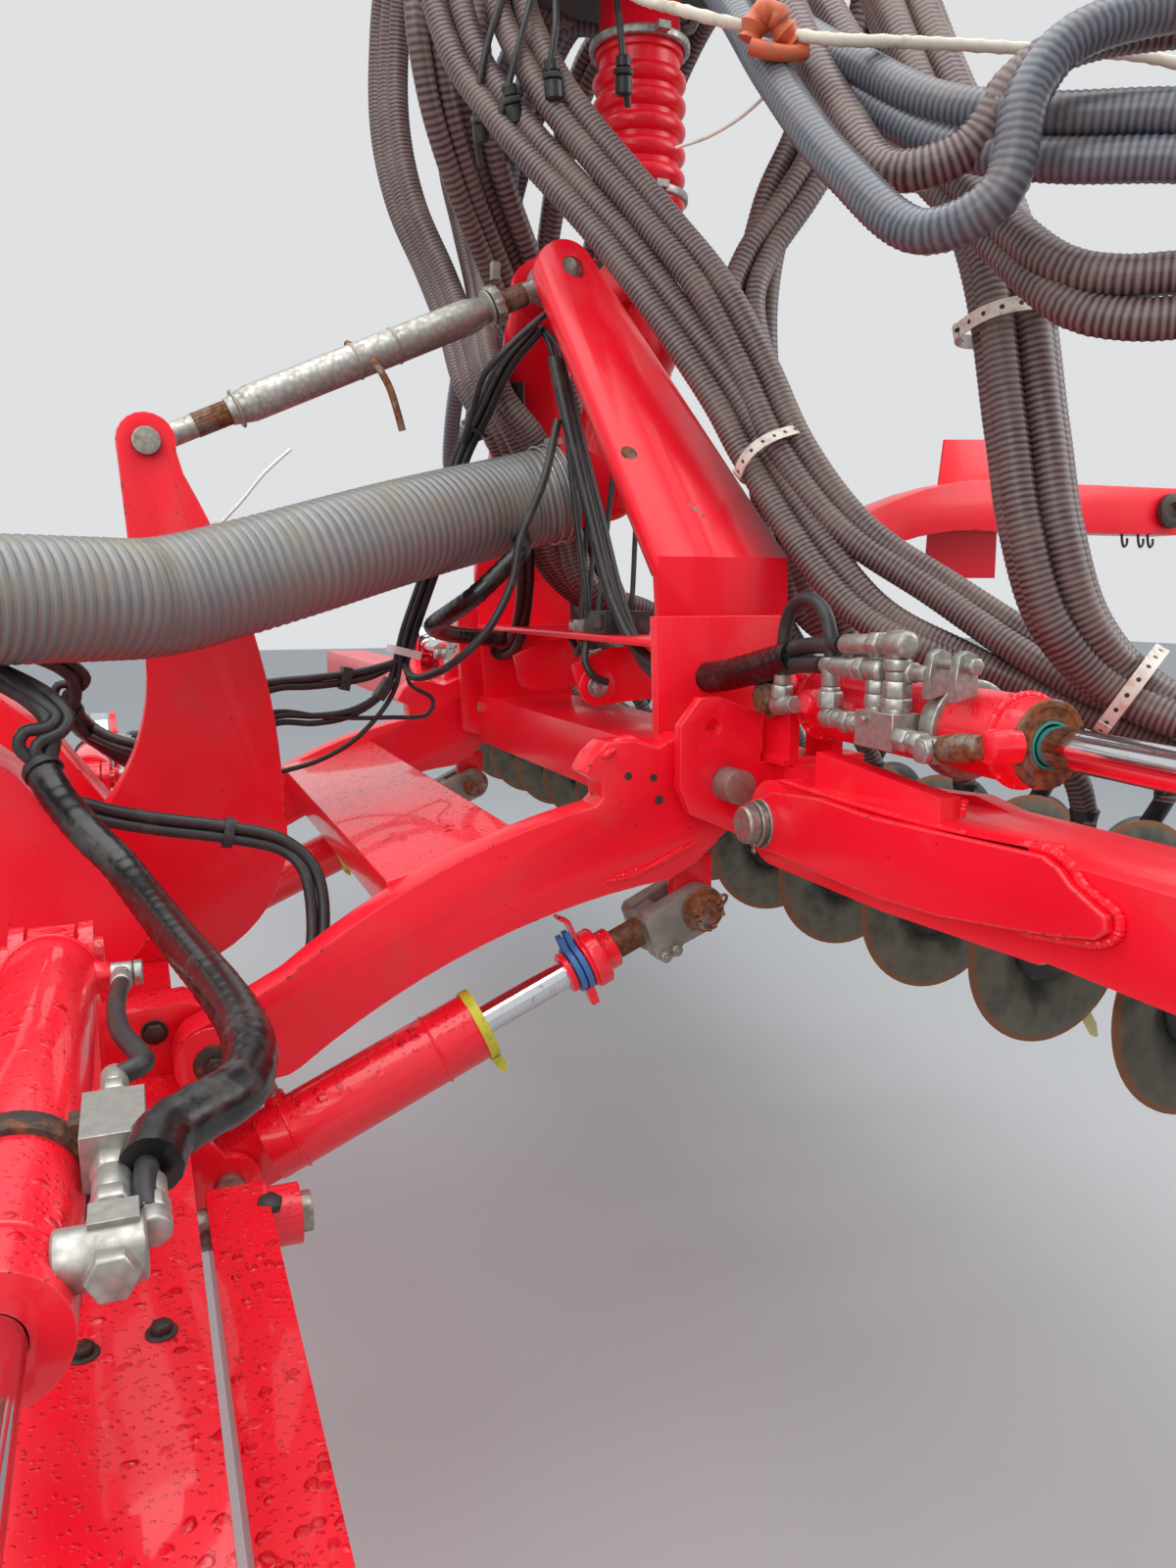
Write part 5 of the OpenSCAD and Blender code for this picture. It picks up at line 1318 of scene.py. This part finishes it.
def build_cables():
    """Cables from the tower's top to the carrier with band and clips, and the shelf's boxes and wires."""
    middle = [(1330, -45, 1080), (1282, 0, 1018), (1245, 55, 925), (1215, 76, 860), (1185, 84, 760),
              (1165, 86, 680), (1135, 86, 600), (1108, 84, 530), (1094, 84, 480)]
    ends = [[(1036, 84, 455), (982, 84, 446), (909, 84, 439), (851, 84, 435), (800, 84, 425), (750, 84, 360)],
            [(1037, 86, 443), (981, 86, 431), (914, 84, 425), (851, 84, 423), (800, 86, 400), (750, 86, 330)],
            [(1059, 82, 419), (996, 80, 378), (926, 84, 368), (857, 84, 371), (800, 84, 350), (760, 86, 300)],
            [(1055, 88, 409), (990, 86, 366), (920, 84, 354), (851, 86, 357), (799, 84, 331), (760, 84, 280)],
            [(1071, 80, 407), (999, 82, 323), (924, 84, 282), (857, 84, 265), (800, 84, 254), (765, 86, 220)],
            [(1105, 84, 425), (1150, 82, 392), (1140, 80, 364), (1057, 80, 360), (943, 82, 365),
             (851, 86, 379), (790, 88, 360)]]
    for number, end in enumerate(ends):
        angle = 2 * math.pi * number / 6
        move = Vector((13 * math.cos(angle), 13 * math.sin(angle), 0))
        radius = (7.5, 7.5, 6.5, 6.0, 5.0, 4.5)[number]
        upper, lower = Shape(), Shape()
        points = [Vector(q) + move for q in middle]
        upper.tube(points, radius, 10, 14)
        piece = upper.finish(f"cables.upper_{number + 1}", RUBBER, None, slot="press_rubber")
        bend(piece, "bar", "top_link", (1240, 0, 900), (1100, 0, 560))
        lower.tube([points[-1] + Vector((0, 0, 14)), points[-1]] + end, radius, 10, 12)
        piece = lower.finish(f"cables.lower_{number + 1}", RUBBER, None, slot="press_rubber")
        bend(piece, "top_link", "carrier", *CARRIER_BEND)
    strap("cables.band", (1096, 84, 486), (0.25, 0, 0.97), 30, 30, ("top_link",), None, WHITE, 15)
    strap("cables.upper_band", (1238, 60, 908), (0.40, -0.3, 0.85), 24, 24, ("bar",), None, RUBBER, 6)
    clips = Shape()
    for centre, turn in (((980, 85, 438), 0.2), ((1054, 84, 416), 0.6)):
        turned = Matrix.Translation(centre) @ Matrix.Rotation(turn, 4, "Y")
        clips.box((-9, -22, -22), (9, 22, 22), turned)
        clips.rod(turned @ Vector((0, -22, 0)), turned @ Vector((0, -25, 0)), 6, 16, 1)
    piece = clips.finish("cables.clips", BLACK, None, None, 2.0, 2, slot="black_paint")
    bend(piece, "top_link", "carrier", *CARRIER_BEND)
    thick = Shape()
    thick.tube([(1290, -60, 700), (1262, -135, 672), (1225, -148, 640), (1180, -140, 598), (1150, -80, 565),
                (1142, 0, 545), (1165, 120, 530), (1225, 215, 515), (1300, 268, 505), (1360, 285, 500)],
               17, 16, 4, lambda place, d: 1.0 + 0.07 * ((d / 20) % 1.0))
    thick.finish("cables.sleeve", WRAP, "bar", slot="press_rubber")
    loop = Shape()
    loop.tube([(1330, -150, 900), (1285, -200, 790), (1240, -205, 690), (1225, -205, 620), (1180, -200, 535),
               (1125, -160, 475), (1095, -90, 450), (1088, 0, 446), (1094, 72, 462)], 7.5, 10, 12)
    piece = loop.finish("cables.loop", RUBBER, None, slot="press_rubber")
    bend(piece, "bar", "top_link", (1240, 0, 690), (1090, 0, 470))
    black = Shape()
    black.tube([(1450, -85, 1205), (1415, -84, 1166), (1360, -84, 1118), (1311, -82, 1077), (1260, -70, 1030),
                (1228, -40, 990), (1222, 10, 940), (1210, 45, 880)], 6.5, 10, 12)
    for y0, (x, z) in ((-62, (1362, 1000)), (-75, (1372, 960))):
        black.tube([(1340, -45, 1078), (x - 12, y0, 1040), (x, y0, z), (1372, -95, 860), (1382, -120, 700),
                    (1390, -135, 600), (1396, -130, 540)], 6, 10, 14)
    black.finish("cables.tower", RUBBER, "bar", slot="press_rubber")
    white = Shape()
    white.rod((1398, -84, 1151), (1384, -84, 1139), 7.4, 16)
    slope = Matrix.Translation((1345, -90, 1104)) @ Matrix.Rotation(-0.7, 4, "Y")
    white.box((-16, -9, -7), (16, 9, 7), slope)
    white.finish("cables.white_mark", WHITE, "bar", None, 1)
    tie = Shape()
    tie.tube([(752, -58, 712), (790, -62, 752), (830, -64, 800), (876, -62, 842)], 3.4, 6, 12)
    tie.box((-9, -6, -8), (9, 6, 8), Matrix.Translation((750, -60, 712)))
    tie.finish("mast_tie", WHITE, "carrier", None, 0.6, 1)
    box = Shape()
    box.box((1375, -262, 527), (1462, -192, 568))
    box.box((1369, -256, 537), (1376, -200, 562))
    box.rod((1418, -262, 548), (1418, -272, 548), 13, 24, 2)
    box.box((1380, -182, 527), (1420, -150, 552))
    box.finish("terminal_box", BLACK, "bar", None, 3.5, 3, slot="black_paint")
    grey = Shape()
    grey.box((1378, -140, 527), (1410, -96, 550))
    grey.box((1374, -110, 530), (1392, -84, 544))
    grey.finish("terminal_block", ZINC, "bar", None, 2.5, 2)
    wires = Shape()
    for k, (x, y) in enumerate(((1385, -205), (1395, -190), (1400, -120), (1392, -102), (1440, -225))):
        wires.tube([(x, y, 560), (x + 4, y, 600), (x + 20, y + 24, 660 + 14 * k),
                    (x + 44, y + 60, 740 + 20 * k), (x + 60, y + 70, 830)], 5, 8, 14)
    wires.finish("terminal_wires", RUBBER, "bar", slot="press_rubber")
    under = Shape()
    under.tube([(1380, -150, 520), (1372, -150, 498), (1380, -110, 486), (1400, -60, 492), (1400, -30, 512)],
               7, 10, 8)
    under.tube([(1368, -196, 512), (1360, -205, 480), (1372, -215, 452), (1400, -215, 440)], 7, 10, 8)
    under.finish("shelf_hoses", RUBBER, "bar", slot="press_rubber")


def build_top_link_parts():
    """The top link's threads, handle, lock nut and collars, and the wire clamp at the air hose's end."""
    axis = LINK_AXIS
    thread = Shape()
    for start, count in ((88, 24), (690, 16)):
        turns = [(0, 19)]
        for k in range(count):
            turns += [(k * 3 + 0.6, 21.4), (k * 3 + 1.8, 21.4), (k * 3 + 2.3, 20.2), (k * 3 + 2.8, 20.2)]
        thread.lathe(MAST_PIN + axis * start, axis, turns + [(count * 3 + 1, 19)], 20)
    thread.tube([(996, 40, 1042), (1012, 10, 1026), (1030, -32, 1000), (1052, -44, 960), (1066, -46, 915),
                 (1074, -46, 884)], 6.5, 12, 8)
    thread.finish("top_link.threads", RUST, "top_link", None, 0)
    nut = Shape()
    nut.nut(MAST_PIN + axis * 668, axis, 62, 20)
    nut.box((1256, -8, 1165), (1272, 8, 1196))
    for place, r in ((166, 34), (392, 33.5), (470, 33.5), (662, 34)):
        nut.lathe(MAST_PIN + axis * (place - 3), axis, [(0, 31), (1, r - 1.5), (3, r), (5, r - 1.5), (6, 31)],
                  36)
    nut.finish("top_link.nut", GREY_TUBE, "top_link", None, 1.0, 1)
    clamp = Shape()
    way = Vector((0.967, 0, 0.253))
    across = Vector((0, 92.5, 0))
    up = Vector((-way.z, 0, way.x)) * 92.5
    for x in (1356, 1374, 1386):
        centre = Vector((1397, 0, 793)) - way * (1397 - x) / way.x
        clamp.tube([centre + across * math.cos(angle) + up * math.sin(angle)
                    for angle in (math.pi * k / 24 for k in range(49))], 2.6, 8, 0)
    clamp.box((1362, -12, 880), (1390, 14, 892), Matrix.Translation((0, 0, -2)))
    clamp.finish("air_hose.clamp", ZINC, "bar", None, 0)


def build_hitch_parts(side):
    """A lug of the bar's beam with its bolt, and the latch, weld beads and bolt holes of an arm's hook, the
    holes as dark discs of painted shade.
    """
    red = Shape()
    red.plate([(1347, 470), (1420, 500), (1505, 503), (1506, 404), (1405, 396), (1372, 404), (1358, 425)],
              (168, 180))
    red.lathe((1393, 180, 430), (0, 1, 0), [(0, 36), (4, 36), (5, 34)], 36)
    red.finish(f"beam_lug_{side}", PAINT, "bar", side, 1.6, 2)
    bolts = Shape()
    bolts.bolt((1393, 185, 430), (0, 1, 0), 17)
    bolts.finish(f"beam_lug_{side}.bolt", ZINC, "bar", side, 0.8, 1)
    latch = Shape()
    latch.tube([(1222, 634, 362), (1216, 640, 368), (1222, 648, 374), (1234, 640, 378), (1236, 626, 376),
                (1226, 620, 366), (1221, 632, 362)], 5.5, 12, 4)
    latch.tube([(1232, 630, 372), (1248, 628, 384), (1262, 626, 388), (1276, 626, 384), (1290, 626, 378)],
               9, 14, 5, lambda place, d: 1.0 + 0.25 * math.sin(place * 5))
    for x, z in ((1286, 200), (1300, 206), (1320, 212)):
        latch.weld([(x - 66, 645.5, z - 12), (x - 24, 646, z - 8), (x + 10, 646, z + 6),
                    (x + 44, 645.5, z + 22)], 3.2)
    latch.finish(f"arm_latch_{side}", PAINT, "arms", side, 0)
    # Dark discs flush with the hook's face stand in for its bolt holes: painted shade.
    holes = Shape()
    for x, z, r in ((1255, 340, 6), (1295, 335, 6), (1304, 302, 7)):
        holes.lathe((x, 640, z), (0, 1, 0), [(0, r), (5.6, r)], 16)
    holes.finish(f"arm_latch_{side}.holes", DARK, "arms", side, 0)


def build_rope():
    """The pale rope that is pulled tight over the hoses, with its faded orange tie."""
    rope = Shape()
    rope.tube([(1372, -806, 1214), (1366, -812, 1204), (1345, -786, 1182), (1318, -740, 1168),
               (1293, -700, 1165)], 2.2, 8, 10)
    rope.tube([(1350, -150, 1640), (1262, -420, 1480), (1222, -700, 1336), (1212, -790, 1285),
               (1232, -850, 1252), (1264, -885, 1232), (1309, -905, 1222), (1354, -965, 1196),
               (1426, -985, 1197), (1575, -1020, 1199), (1728, -1080, 1185), (1850, -1180, 1090),
               (1890, -1350, 800), (1840, -1640, 470), (1730, -1800, 235)],
              6.5, 10, 8, lambda place, d: 1.0 + 0.10 * math.sin(d * 0.5))
    piece = rope.finish("rope", ROPE, None, None, 0)
    bend(piece, "bar", "wing_left", (1700, -980, 1230), (1850, -1400, 600))
    tie = Shape()
    tie.tube([(1284, -905, 1208), (1292, -912, 1230), (1304, -922, 1232), (1316, -922, 1218),
              (1330, -926, 1204)], 14, 12, 5, lambda place, d: 1.0 + 0.20 * math.sin(d * 0.9))
    tie.tube([(1278, -918, 1196), (1296, -928, 1190), (1318, -932, 1189), (1340, -934, 1194)], 9, 10, 5)
    tie.finish("rope.tie", ORANGE, "bar", None, 0)


def build_small_parts():
    """Sensors and plugs, worn paint, the rear arch's plate and ring, and the riser's clamps."""
    black = Shape()
    for points in ([(1290, -170, 1600), (1262, -190, 1520), (1240, -180, 1440), (1228, -160, 1380),
                    (1250, -120, 1330)],
                   [(1268, -150, 1640), (1232, -150, 1560), (1205, -140, 1470), (1196, -120, 1390),
                    (1215, -80, 1330)],
                   [(1310, -200, 1580), (1300, -230, 1500), (1292, -225, 1440), (1300, -200, 1400)],
                   [(1440, -150, 1600), (1430, -190, 1540), (1432, -200, 1480), (1450, -180, 1420)]):
        black.tube(points, 6, 10, 10)
    for place, axis in (((1236, -176, 1428), (0.3, 0.2, -1)), ((1200, -128, 1412), (0.2, 0.4, -1)),
                        ((1296, -222, 1456), (0.1, 0.1, -1)), ((1432, -200, 1492), (0.1, 0.2, -1)),
                        ((1322, -212, 1400), (1, 0.3, -0.4))):
        black.lathe(place, axis, [(0, 9), (3, 13), (16, 13), (18, 10), (30, 10), (32, 15), (56, 15),
                                  (60, 11)], 20)
        black.nut(Vector(place) + Vector(axis).normalized() * 20, axis, 30, 9)
    black.finish("sensors", RUBBER, "bar", None, 0, slot="press_rubber")
    out = Vector((0, -0.8, 0.6))
    worn = Shape()
    worn.lathe(Vector((1367, -383, 822)) - out, out, [(0, 14), (1.2, 14), (1.6, 13), (1.3, 8), (1.5, 4)], 28)
    for (x, y, z), r in (((1453, -452, 731), 5), ((1463, -459, 722), 4), ((1446, -447, 738), 3),
                         ((1472, -468, 710), 3)):
        worn.lathe(Vector((x, y, z)) - out, out, [(0, r), (1.2, r), (1.4, r * 0.8)], 9, 0.3)
    worn.finish("tower_worn", RUST, "bar", None, 0)
    plate = Shape()
    plate.plate([(2322, 938), (2480, 945), (2484, 633), (2286, 632), (2290, 740), (2312, 840)], (47, 53))
    plate.finish("arch_plate", PAINT, "bar", None, 2, 2)
    ring = Shape()
    ring.lathe((2905, -46, 790), (0, -1, 0), [(0, 14), (0, 34), (3, 40), (14, 40), (17, 34), (17, 20),
                                              (6, 14)], 32)
    for x in (2780, 2830, 2860):
        ring.tube([(x, -30, 738), (x, -34, 716), (x + 6, -34, 706), (x + 14, -34, 712), (x + 14, -34, 726)],
                  3, 8, 4)
    ring.finish("arch_ring", DARK, "bar", None, 0)
    clamp = Shape()
    for z in (1325, 1588):
        clamp.lathe((RISER_X, 0, z), (0, 0, 1), [(0, 84), (0, 92), (2, 94), (14, 94), (16, 92), (16, 84)], 48,
                    ring=True)
        clamp.box((RISER_X - 12, -112, z + 1), (RISER_X + 12, -90, z + 15))
    clamp.finish("riser_clamps", ZINC, "bar", None, 0.8, 1)


ACROSS = Matrix.Rotation(math.radians(90), 4, "Z")


def build_wing_parts(side):
    """The folded nose plate at a bar wing's hinge, its weld and the hinge pin's end."""
    wing = "wing_" + side
    nose = Shape()
    nose.plate([(780, 292), (786, 268), (806, 254), (833, 256), (947, 253), (1069, 252), (1175, 259),
                (1297, 276), (1334, 282), (1390, 294), (1402, 304), (1400, 318), (1380, 326), (1357, 336),
                (1342, 348), (1320, 356), (1291, 355), (1053, 344), (935, 347), (826, 338), (796, 324)],
               (-1401, -1384), ACROSS)
    nose.plate([(1030, 320), (1291, 355), (1291, 349), (1030, 344)], (-1440, -1392), ACROSS)
    nose.finish(f"wing_nose_{side}", PAINT, wing, side, 5.0, 3)
    weld = Shape()
    weld.weld([(1398, 1278, 357), (1396, 1322, 359), (1396, 1346, 350), (1396, 1362, 337), (1396, 1384, 328),
               (1396, 1404, 319), (1396, 1406, 304), (1396, 1392, 291), (1396, 1336, 279), (1396, 1292, 273)],
              5.0)
    weld.weld([(1398, 830, 352), (1398, 935, 350), (1398, 1053, 349), (1398, 1200, 352)], 3.5)
    weld.weld([(1458, 1118, 352), (1458, 1121, 372)], 4.0)
    weld.finish(f"wing_nose_{side}.weld", PAINT, wing, side, 0)
    pin = Shape()
    pin.lathe((1386, 800, 290), (-1, 0, 0), [(0, 34), (3, 34), (4, 33)], 36)
    pin.lathe((1382, 800, 290), (-1, 0, 0),
              [(0, 26), (8, 26), (8.6, 24), (11, 24), (11.6, 26), (24, 26), (27, 23), (27.2, 3)], 40)
    pin.lathe((1373.6, 800, 290), (-1, 0, 0), [(0, 23), (0, 31), (1, 32), (2, 31), (2, 23)], 36, ring=True)
    for z in (258, 266):
        pin.rod((1373, 806, z - 3), (1369, 806, z - 3), 4.5, 12, 1)
    pin.finish(f"wing_pin_{side}", STEEL, wing, side, 0)


def build_row_parts():
    """What each coulter row has: its seed tube, the pale tongue behind its disc, and its clamp bolt."""
    for body in ("bar", "wing_left", "wing_right"):
        tubes, tongues, bolts = Shape(), Shape(), Shape()
        for side, sign in SIDES.items():
            for k in range(ROWS_PER_SIDE):
                y = sign * row_y(k)
                if body != ("bar" if abs(y) < WING_START else "wing_" + side):
                    continue
                x = rank_x(side, k)
                tube_x = x + SEED_TUBE_BEHIND
                tubes.tube([(tube_x, y, 240), (tube_x, y + 4, 205), (x + 60, y + 25, 158),
                            (x + 36, y + 27, 96), (x + 20, y + 27, 36)], 19, 9, 30,
                           lambda place, d: 1.32 - 0.32 * min(1, place * 5))
                tongues.plate([(x + 62, -72), (x + 84, -76), (x + 118, -112), (x + 146, -154),
                               (x + 152, -180), (x + 140, -178), (x + 118, -146), (x + 86, -110),
                               (x + 64, -96)], (y + 12, y + 21))
                bolts.rod((1662, y + 22, 206), (1612, y + 22, 206), 7, 10, 1)
                bolts.nut((1640, y + 22, 206), (-1, 0, 0), 21, 12)
                bolts.nut((1626, y + 22, 206), (-1, 0, 0), 21, 9)
        tubes.finish(f"seed_tubes_{body}", RUBBER, body, None, 0, slot="press_rubber")
        tongues.finish(f"tongues_{body}", PALE, body, None, 1.2, 1, slot="head_plastic")
        bolts.finish(f"row_bolts_{body}", ZINC, body, None, 0)


# Stage

def build_stage(settings):
    """The photo's camera, a pale floor, three large lamps and pale surroundings."""
    scene = bpy.context.scene
    camera = bpy.data.objects.new("camera", bpy.data.cameras.new("camera"))
    scene.collection.objects.link(camera)
    camera.location = CAMERA_PLACE
    camera.rotation_euler = (math.radians(90 - CAMERA_DOWN), 0, math.radians(-CAMERA_RIGHT))
    camera.data.sensor_fit = "VERTICAL"
    camera.data.sensor_height = SENSOR_HEIGHT
    camera.data.lens = FOCAL_PIXELS / PICTURE_PIXELS * SENSOR_HEIGHT
    camera.data.clip_start = 0.02
    scene.camera = camera
    floor = link("floor", bpy.data.meshes.new("floor"))
    corners = [(x * FLOOR_HALF, y * FLOOR_HALF, FLOOR_Z) for x, y in ((-1, -1), (1, -1), (1, 1), (-1, 1))]
    floor.data.from_pydata(corners, [], [[0, 1, 2, 3]])
    shader = Shader("pale floor")
    pale_grey = shader.mix(shader.noise(1.5, 2.0), (0.50, 0.50, 0.49), (0.54, 0.54, 0.53))
    floor.data.materials.append(shader.surface(pale_grey, 0.8, specular=0.2))
    for name, place, size, power, aim in (
            ("sky", (0.2, -0.6, 4.6), 5.5, 1.0, (0, 0, 0)),
            ("front", (-2.6, -4.2, 2.6), 3.0, 0.40, (1.2, -0.4, 0.4)),
            ("rear", (4.2, -1.6, 2.4), 2.2, 0.24, (1.4, -0.6, 0.4))):
        light = bpy.data.objects.new(name, bpy.data.lights.new(name, "AREA"))
        scene.collection.objects.link(light)
        light.location = place
        light.data.size = size
        light.data.energy = power * settings.lamp_power
        light.rotation_euler = (Vector(aim) - Vector(place)).to_track_quat("-Z", "Y").to_euler()
    world = bpy.data.worlds.new("pale surroundings")
    scene.world = world
    world.use_nodes = True
    tree = world.node_tree
    tree.nodes.clear()
    path = tree.nodes.new("ShaderNodeLightPath")
    sky = tree.nodes.new("ShaderNodeBackground")
    sky.inputs["Color"].default_value = (0.80, 0.86, 0.95, 1)
    sky.inputs["Strength"].default_value = settings.sky_strength
    pale = tree.nodes.new("ShaderNodeBackground")
    pale.inputs["Color"].default_value = (0.74, 0.75, 0.76, 1)
    mix = tree.nodes.new("ShaderNodeMixShader")
    out = tree.nodes.new("ShaderNodeOutputWorld")
    seen = path.outputs["Is Camera Ray"]
    for name in ("Is Glossy Ray", "Is Transmission Ray"):
        either = tree.nodes.new("ShaderNodeMath")
        either.operation = "MAXIMUM"
        tree.links.new(seen, either.inputs[0])
        tree.links.new(path.outputs[name], either.inputs[1])
        seen = either.outputs[0]
    tree.links.new(seen, mix.inputs[0])
    tree.links.new(sky.outputs[0], mix.inputs[1])
    tree.links.new(pale.outputs[0], mix.inputs[2])
    tree.links.new(mix.outputs[0], out.inputs[0])
    scene.view_settings.view_transform = "Standard"


# Add-on

class DrillSettings(bpy.types.PropertyGroup):
    """Sizes and strengths that the operators use."""
    hose_diameter: bpy.props.FloatProperty(
        name="Seed hose diameter", description="Outer diameter of the ribbed seed hoses", default=0.044,
        min=0.03, max=0.046, unit="LENGTH")
    hose_pitch: bpy.props.FloatProperty(
        name="Seed hose pitch", description="Distance between two ribs of a seed hose near the camera",
        default=0.0081, min=0.006, max=0.02, unit="LENGTH")
    air_hose_pitch: bpy.props.FloatProperty(
        name="Air hose pitch", description="Distance between two ribs of the wide air hose", default=0.0155,
        min=0.010, max=0.03, unit="LENGTH")
    edge_width: bpy.props.FloatProperty(
        name="Rounded edges", description="Width of the rounding on the edges of welded plates",
        default=0.003, min=0.001, max=0.004, unit="LENGTH")
    lamp_power: bpy.props.FloatProperty(
        name="Lamp power", description="Power of the large lamp overhead; the other lamps follow it",
        default=226.0, min=20.0, max=600.0, unit="POWER")
    sky_strength: bpy.props.FloatProperty(
        name="Sky strength", description="Strength of the light that comes from the surroundings",
        default=0.78, min=0.0, max=3.0, subtype="FACTOR")


class DrillOperator:
    """What every operator here shares."""
    bl_options = {"REGISTER"}

    def execute(self, context):
        self.build(context.scene.drill_settings)
        return {"FINISHED"}


class DRILL_OT_materials(DrillOperator, bpy.types.Operator):
    """Make the materials and the Geometry Nodes trees"""
    bl_idname = "drill.materials"
    bl_label = "Materials and node trees"

    def build(self, settings):
        make_materials()
        TREES["hose"] = make_hose_tree()
        TREES["row"] = make_row_tree()


class DRILL_OT_stage(DrillOperator, bpy.types.Operator):
    """Set the camera, lamps, floor and pale surroundings"""
    bl_idname = "drill.stage"
    bl_label = "Stage"

    def build(self, settings):
        build_stage(settings)


class DRILL_OT_seed_hoses(DrillOperator, bpy.types.Operator):
    """Run a ribbed seed hose from the distributor head to every coulter"""
    bl_idname = "drill.seed_hoses"
    bl_label = "Seed hoses"

    def build(self, settings):
        build_seed_hoses(settings)


class DRILL_OT_air_hose(DrillOperator, bpy.types.Operator):
    """Run the wide air hose from the carrier to the tower's inlet"""
    bl_idname = "drill.air_hose"
    bl_label = "Air hose"

    def build(self, settings):
        build_air_hose(settings)


class DRILL_OT_steelwork(DrillOperator, bpy.types.Operator):
    """Round the edges of frames, arms, beams, barrels, rods and pins and paint them"""
    bl_idname = "drill.steelwork"
    bl_label = "Steelwork"

    def build(self, settings):
        build_steelwork(settings)


class DRILL_OT_discs(DrillOperator, bpy.types.Operator):
    """Set coulter discs and press wheels in their ranks"""
    bl_idname = "drill.discs"
    bl_label = "Discs and press wheels"

    def build(self, settings):
        build_discs()


class DRILL_OT_fold_fittings(DrillOperator, bpy.types.Operator):
    """Add the valve blocks, pipe fittings and hoses of the bar's fold cylinders"""
    bl_idname = "drill.fold_fittings"
    bl_label = "Fold cylinder fittings"

    def build(self, settings):
        for side in SIDES:
            build_fold_fittings(side)


class DRILL_OT_lift_cylinders(DrillOperator, bpy.types.Operator):
    """Build the lift cylinders' rods, clips, clevises and pins"""
    bl_idname = "drill.lift_cylinders"
    bl_label = "Lift cylinders"

    def build(self, settings):
        for side in SIDES:
            build_lift_cylinders(side)


class DRILL_OT_front_corners(DrillOperator, bpy.types.Operator):
    """Add the fittings, hoses, bolts and washers at the front frame's corners"""
    bl_idname = "drill.front_corners"
    bl_label = "Front corners"

    def build(self, settings):
        for side in SIDES:
            build_front_corner(side)


class DRILL_OT_hitch_parts(DrillOperator, bpy.types.Operator):
    """Add the lugs, latches and bolt holes of the arm hitch"""
    bl_idname = "drill.hitch_parts"
    bl_label = "Hitch parts"

    def build(self, settings):
        for side in SIDES:
            build_hitch_parts(side)


class DRILL_OT_cables(DrillOperator, bpy.types.Operator):
    """Run the black cables and set the terminal box with its wires"""
    bl_idname = "drill.cables"
    bl_label = "Cables"

    def build(self, settings):
        build_cables()


class DRILL_OT_top_link(DrillOperator, bpy.types.Operator):
    """Add the top link's threads, lock nut and handle and the air hose's clamp"""
    bl_idname = "drill.top_link"
    bl_label = "Top link"

    def build(self, settings):
        build_top_link_parts()


class DRILL_OT_straps(DrillOperator, bpy.types.Operator):
    """Tie the hose bundles with perforated straps and a pale rope"""
    bl_idname = "drill.straps"
    bl_label = "Straps"

    def build(self, settings):
        for side in SIDES:
            build_straps(side)
        build_rope()


class DRILL_OT_small_parts(DrillOperator, bpy.types.Operator):
    """Add sensors, worn paint, clamps, the wings' noses and what every coulter row has"""
    bl_idname = "drill.small_parts"
    bl_label = "Small parts"

    def build(self, settings):
        build_small_parts()
        for side in SIDES:
            build_wing_parts(side)
        build_row_parts()


OPERATORS = (DRILL_OT_materials, DRILL_OT_stage, DRILL_OT_seed_hoses, DRILL_OT_air_hose, DRILL_OT_steelwork,
             DRILL_OT_discs, DRILL_OT_fold_fittings, DRILL_OT_lift_cylinders, DRILL_OT_front_corners,
             DRILL_OT_hitch_parts, DRILL_OT_cables, DRILL_OT_top_link, DRILL_OT_straps, DRILL_OT_small_parts)


class DRILL_PT_panel(bpy.types.Panel):
    """The settings and a button for every operator"""
    bl_idname = "DRILL_PT_panel"
    bl_label = "Coulter bar"
    bl_space_type = "VIEW_3D"
    bl_region_type = "UI"
    bl_category = "Drill"

    def draw(self, context):
        settings = context.scene.drill_settings
        for name in DrillSettings.__annotations__:
            self.layout.prop(settings, name)
        for operator in OPERATORS:
            self.layout.operator(operator.bl_idname)


def register():
    for cls in (DrillSettings, *OPERATORS, DRILL_PT_panel):
        bpy.utils.register_class(cls)
    bpy.types.Scene.drill_settings = bpy.props.PointerProperty(type=DrillSettings)


def unregister():
    del bpy.types.Scene.drill_settings
    for cls in (DRILL_PT_panel, *reversed(OPERATORS), DrillSettings):
        bpy.utils.unregister_class(cls)


def main():
    register()
    for operator in OPERATORS:
        getattr(bpy.ops.drill, operator.bl_idname.split(".")[1])()


if __name__ == "__main__":
    main()
